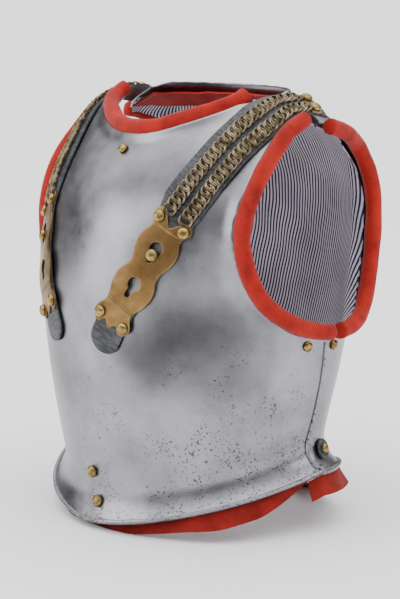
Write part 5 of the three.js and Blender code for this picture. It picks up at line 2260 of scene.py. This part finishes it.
@dataclass(frozen=True)
class BeltWasher:
    """The black leather washer under each belt stud."""

    degrees: float = 100.0
    share: float = 0.186
    lift: float = 1.7
    radius: float = 10.2
    hole: float = 2.4
    wall: float = 2.0

    def dress(self, side: Side) -> None:
        """Makes the washer.

        Args:
            side: The side that it is on.
        """
        sides = 36
        turns = np.linspace(0, 2 * math.pi, sides, endpoint=False)
        profile = [
            (self.hole, 0.0), (self.radius, 0.0), (self.radius, self.wall * 0.55),
            (self.radius - 0.7, self.wall), (self.radius - 2.2, self.wall + 0.1),
            (self.radius - 3.0, self.wall - 0.35), (self.hole, self.wall),
        ]
        points = np.array([(r * math.cos(t), r * math.sin(t), z) for r, z in profile for t in turns])
        angle = np.array(math.radians(self.degrees))
        section = TORSO.section_at(np.array(self.share))
        spot = TORSO.lifted(angle, section, WALLS.back_lift + self.lift)
        points = set_at(points, spot, TORSO.normal(angle, section))
        flat = points[:, :2] * np.array([side.value, 1])
        name = f"belt_washer_{side.name.lower()}"
        faces = joined(len(profile), sides, closed=True)
        make_piece(name + "_hide", points, faces, LEATHER, [name], side, flat=flat)


@dataclass(frozen=True)
class Softbox:
    """One soft light that faces the object: its place and width in metres, and its power in watts."""

    name: str
    place: tuple[float, float, float]
    width: float
    power: float
    faces: tuple[float, float, float] = (0.0, 0.0, 0.2)

    def hang(self) -> None:
        """Hangs the light."""
        lamp = bpy.data.lights.new(self.name, "AREA")
        lamp.shape = "SQUARE"
        lamp.size = self.width
        lamp.energy = self.power
        hung = bpy.data.objects.new(self.name, lamp)
        hung.location = self.place
        towards = Vector(self.faces) - Vector(self.place)
        hung.rotation_euler = towards.to_track_quat("-Z", "Y").to_euler()
        bpy.context.scene.collection.objects.link(hung)


@dataclass
class Studio:
    """A pale floor, soft lights and a camera at the photograph's angle.

    `back` points from the aim to the camera, and the lens and its sensor are in millimetres.
    """

    aim: tuple[float, float, float] = (4.25, 6.56, 215.0)
    back: tuple[float, float, float] = (0.7544, -0.6330, 0.1736)
    distance: float = 1900.0
    lens: float = 110.5
    sensor: float = 36.0
    room_dark: float = 0.12
    room_bright: float = 3.35
    floor_reach: float = 40.0
    lights: tuple[Softbox, ...] = (
        Softbox("left_softbox", (-1.5, -2.4, 1.1), 1.7, 36.0),
        Softbox("right_softbox", (2.9, 0.7, 1.0), 1.0, 14.0),
    )

    def floor(self) -> None:
        """Makes the floor."""
        mesh = bpy.data.meshes.new("floor")
        far = self.floor_reach
        corners = [(-far, -far, 0), (far, -far, 0), (far, far, 0), (-far, far, 0)]
        mesh.from_pydata(corners, [], [(0, 1, 2, 3)])
        piece = bpy.data.objects.new("floor", mesh)
        bpy.context.scene.collection.objects.link(piece)
        mesh.materials.append(MattPaper().material())

    def world(self) -> None:
        """Fills the room with soft light, dimmer level with the floor than overhead."""
        world = bpy.data.worlds.new("studio")
        bpy.context.scene.world = world
        world.use_nodes = True
        tree = world.node_tree
        tree.nodes.clear()
        place = add_node(tree, "ShaderNodeTexCoord").outputs["Generated"]
        axes = add_node(tree, "ShaderNodeSeparateXYZ", links={"Vector": place})
        strength = add_node(
            tree,
            "ShaderNodeMapRange",
            {
                "interpolation_type": "SMOOTHSTEP",
                "From Min": 0.25,
                "From Max": 0.95,
                "To Min": self.room_dark,
                "To Max": self.room_bright,
            },
            {"Value": axes.outputs["Z"]},
        ).outputs[0]
        sky = add_node(tree, "ShaderNodeBackground", {"Color": linear("#ffffff")}, {"Strength": strength})
        add_node(tree, "ShaderNodeOutputWorld", links={"Surface": sky.outputs[0]})

    def camera(self) -> None:
        """Stands the camera at the photograph's angle."""
        lens = bpy.data.cameras.new("camera")
        lens.sensor_fit = "VERTICAL"
        lens.sensor_height = self.sensor
        lens.lens = self.lens
        lens.clip_start = 0.05
        lens.clip_end = 200.0
        camera = bpy.data.objects.new("camera", lens)
        aim = Vector(self.aim) * MILLIMETRE
        back = Vector(self.back)
        camera.location = aim + back * self.distance * MILLIMETRE
        camera.rotation_euler = (-back).to_track_quat("-Z", "Y").to_euler()
        bpy.context.scene.collection.objects.link(camera)
        bpy.context.scene.camera = camera

    def dress(self) -> None:
        """Makes the floor, lights and camera."""
        self.floor()
        self.world()
        for light in self.lights:
            light.hang()
        self.camera()


def main() -> None:
    """Builds the cuirass's pieces in order, and the studio."""
    logging.basicConfig(level=logging.INFO, format="%(name)s: %(message)s")
    steel = [
        SteelPlate("breastplate", BREAST_OUTLINE, 0.0, WALLS.breast),
        SteelPlate("backplate", BACK_OUTLINE, WALLS.back_lift, WALLS.back, beaded_side=False),
    ]
    for plate in steel:
        plate.dress()
    breast_lift = -(WALLS.breast + WALLS.cloth_gap)
    Lining("breast_lining", BREAST_LINING_OUTLINE, breast_lift, neck_lip=5.0).dress()
    back_lift = WALLS.back_lift - WALLS.back - WALLS.lap_gap
    Lining("back_lining", BACK_LINING_OUTLINE, back_lift).dress()
    EdgeRoll("neck_roll", NECK_LINE, 0.01, 0.99, lift=2.0, top_lift=2.0, reach=10.2).dress()
    for side in Side:
        word = side.name.lower()
        EdgeRoll(f"breast_arm_roll_{word}", ARM_LINE, 0.015, 0.97, outwards=-1, side=side).dress()
        EdgeRoll(
            f"back_arm_roll_{word}", BACK_ARM_LINE, 0.085, 0.985, WALLS.back_lift, reach=8.8, side=side
        ).dress()
    NeckBand().dress()
    Skirt("front_skirt", breast_lift, FRONT_SKIRT_DROPS, FRONT_SKIRT_TUCKS).dress()
    skirt_lift = WALLS.back_lift - WALLS.back - WALLS.cloth_gap
    Skirt("back_skirt", skirt_lift, BACK_SKIRT_DROPS).dress()
    for side in Side:
        ShoulderStrap(side).dress()
    for stud in (
        BodyStud("neck_stud", 0.0, 0.858, FRONT_STUD_SEAT),
        BodyStud("waist_stud", 0.0, 0.126, FRONT_STUD_SEAT, radius=6.34, height=4.64),
        BodyStud("flare_stud", 3.5, 0.06, FRONT_STUD_SEAT, radius=6.34, height=4.64),
    ):
        stud.dress(Side.LEFT)
    washer = BeltWasher()
    belt_stud_lift = WALLS.back_lift + washer.lift + washer.wall + WALLS.seat_gap
    for side in Side:
        word = side.name.lower()
        BodyStud(f"side_stud_{word}", 82.0, 0.438, WALLS.seat_gap).dress(side)
        BodyStud(f"back_side_stud_{word}", 99.0, 0.428, WALLS.back_lift + WALLS.seat_gap).dress(side)
        washer.dress(side)
        BodyStud(f"belt_stud_{word}", washer.degrees, washer.share, belt_stud_lift).dress(side)
    Studio().dress()


if __name__ == "__main__":
    main()
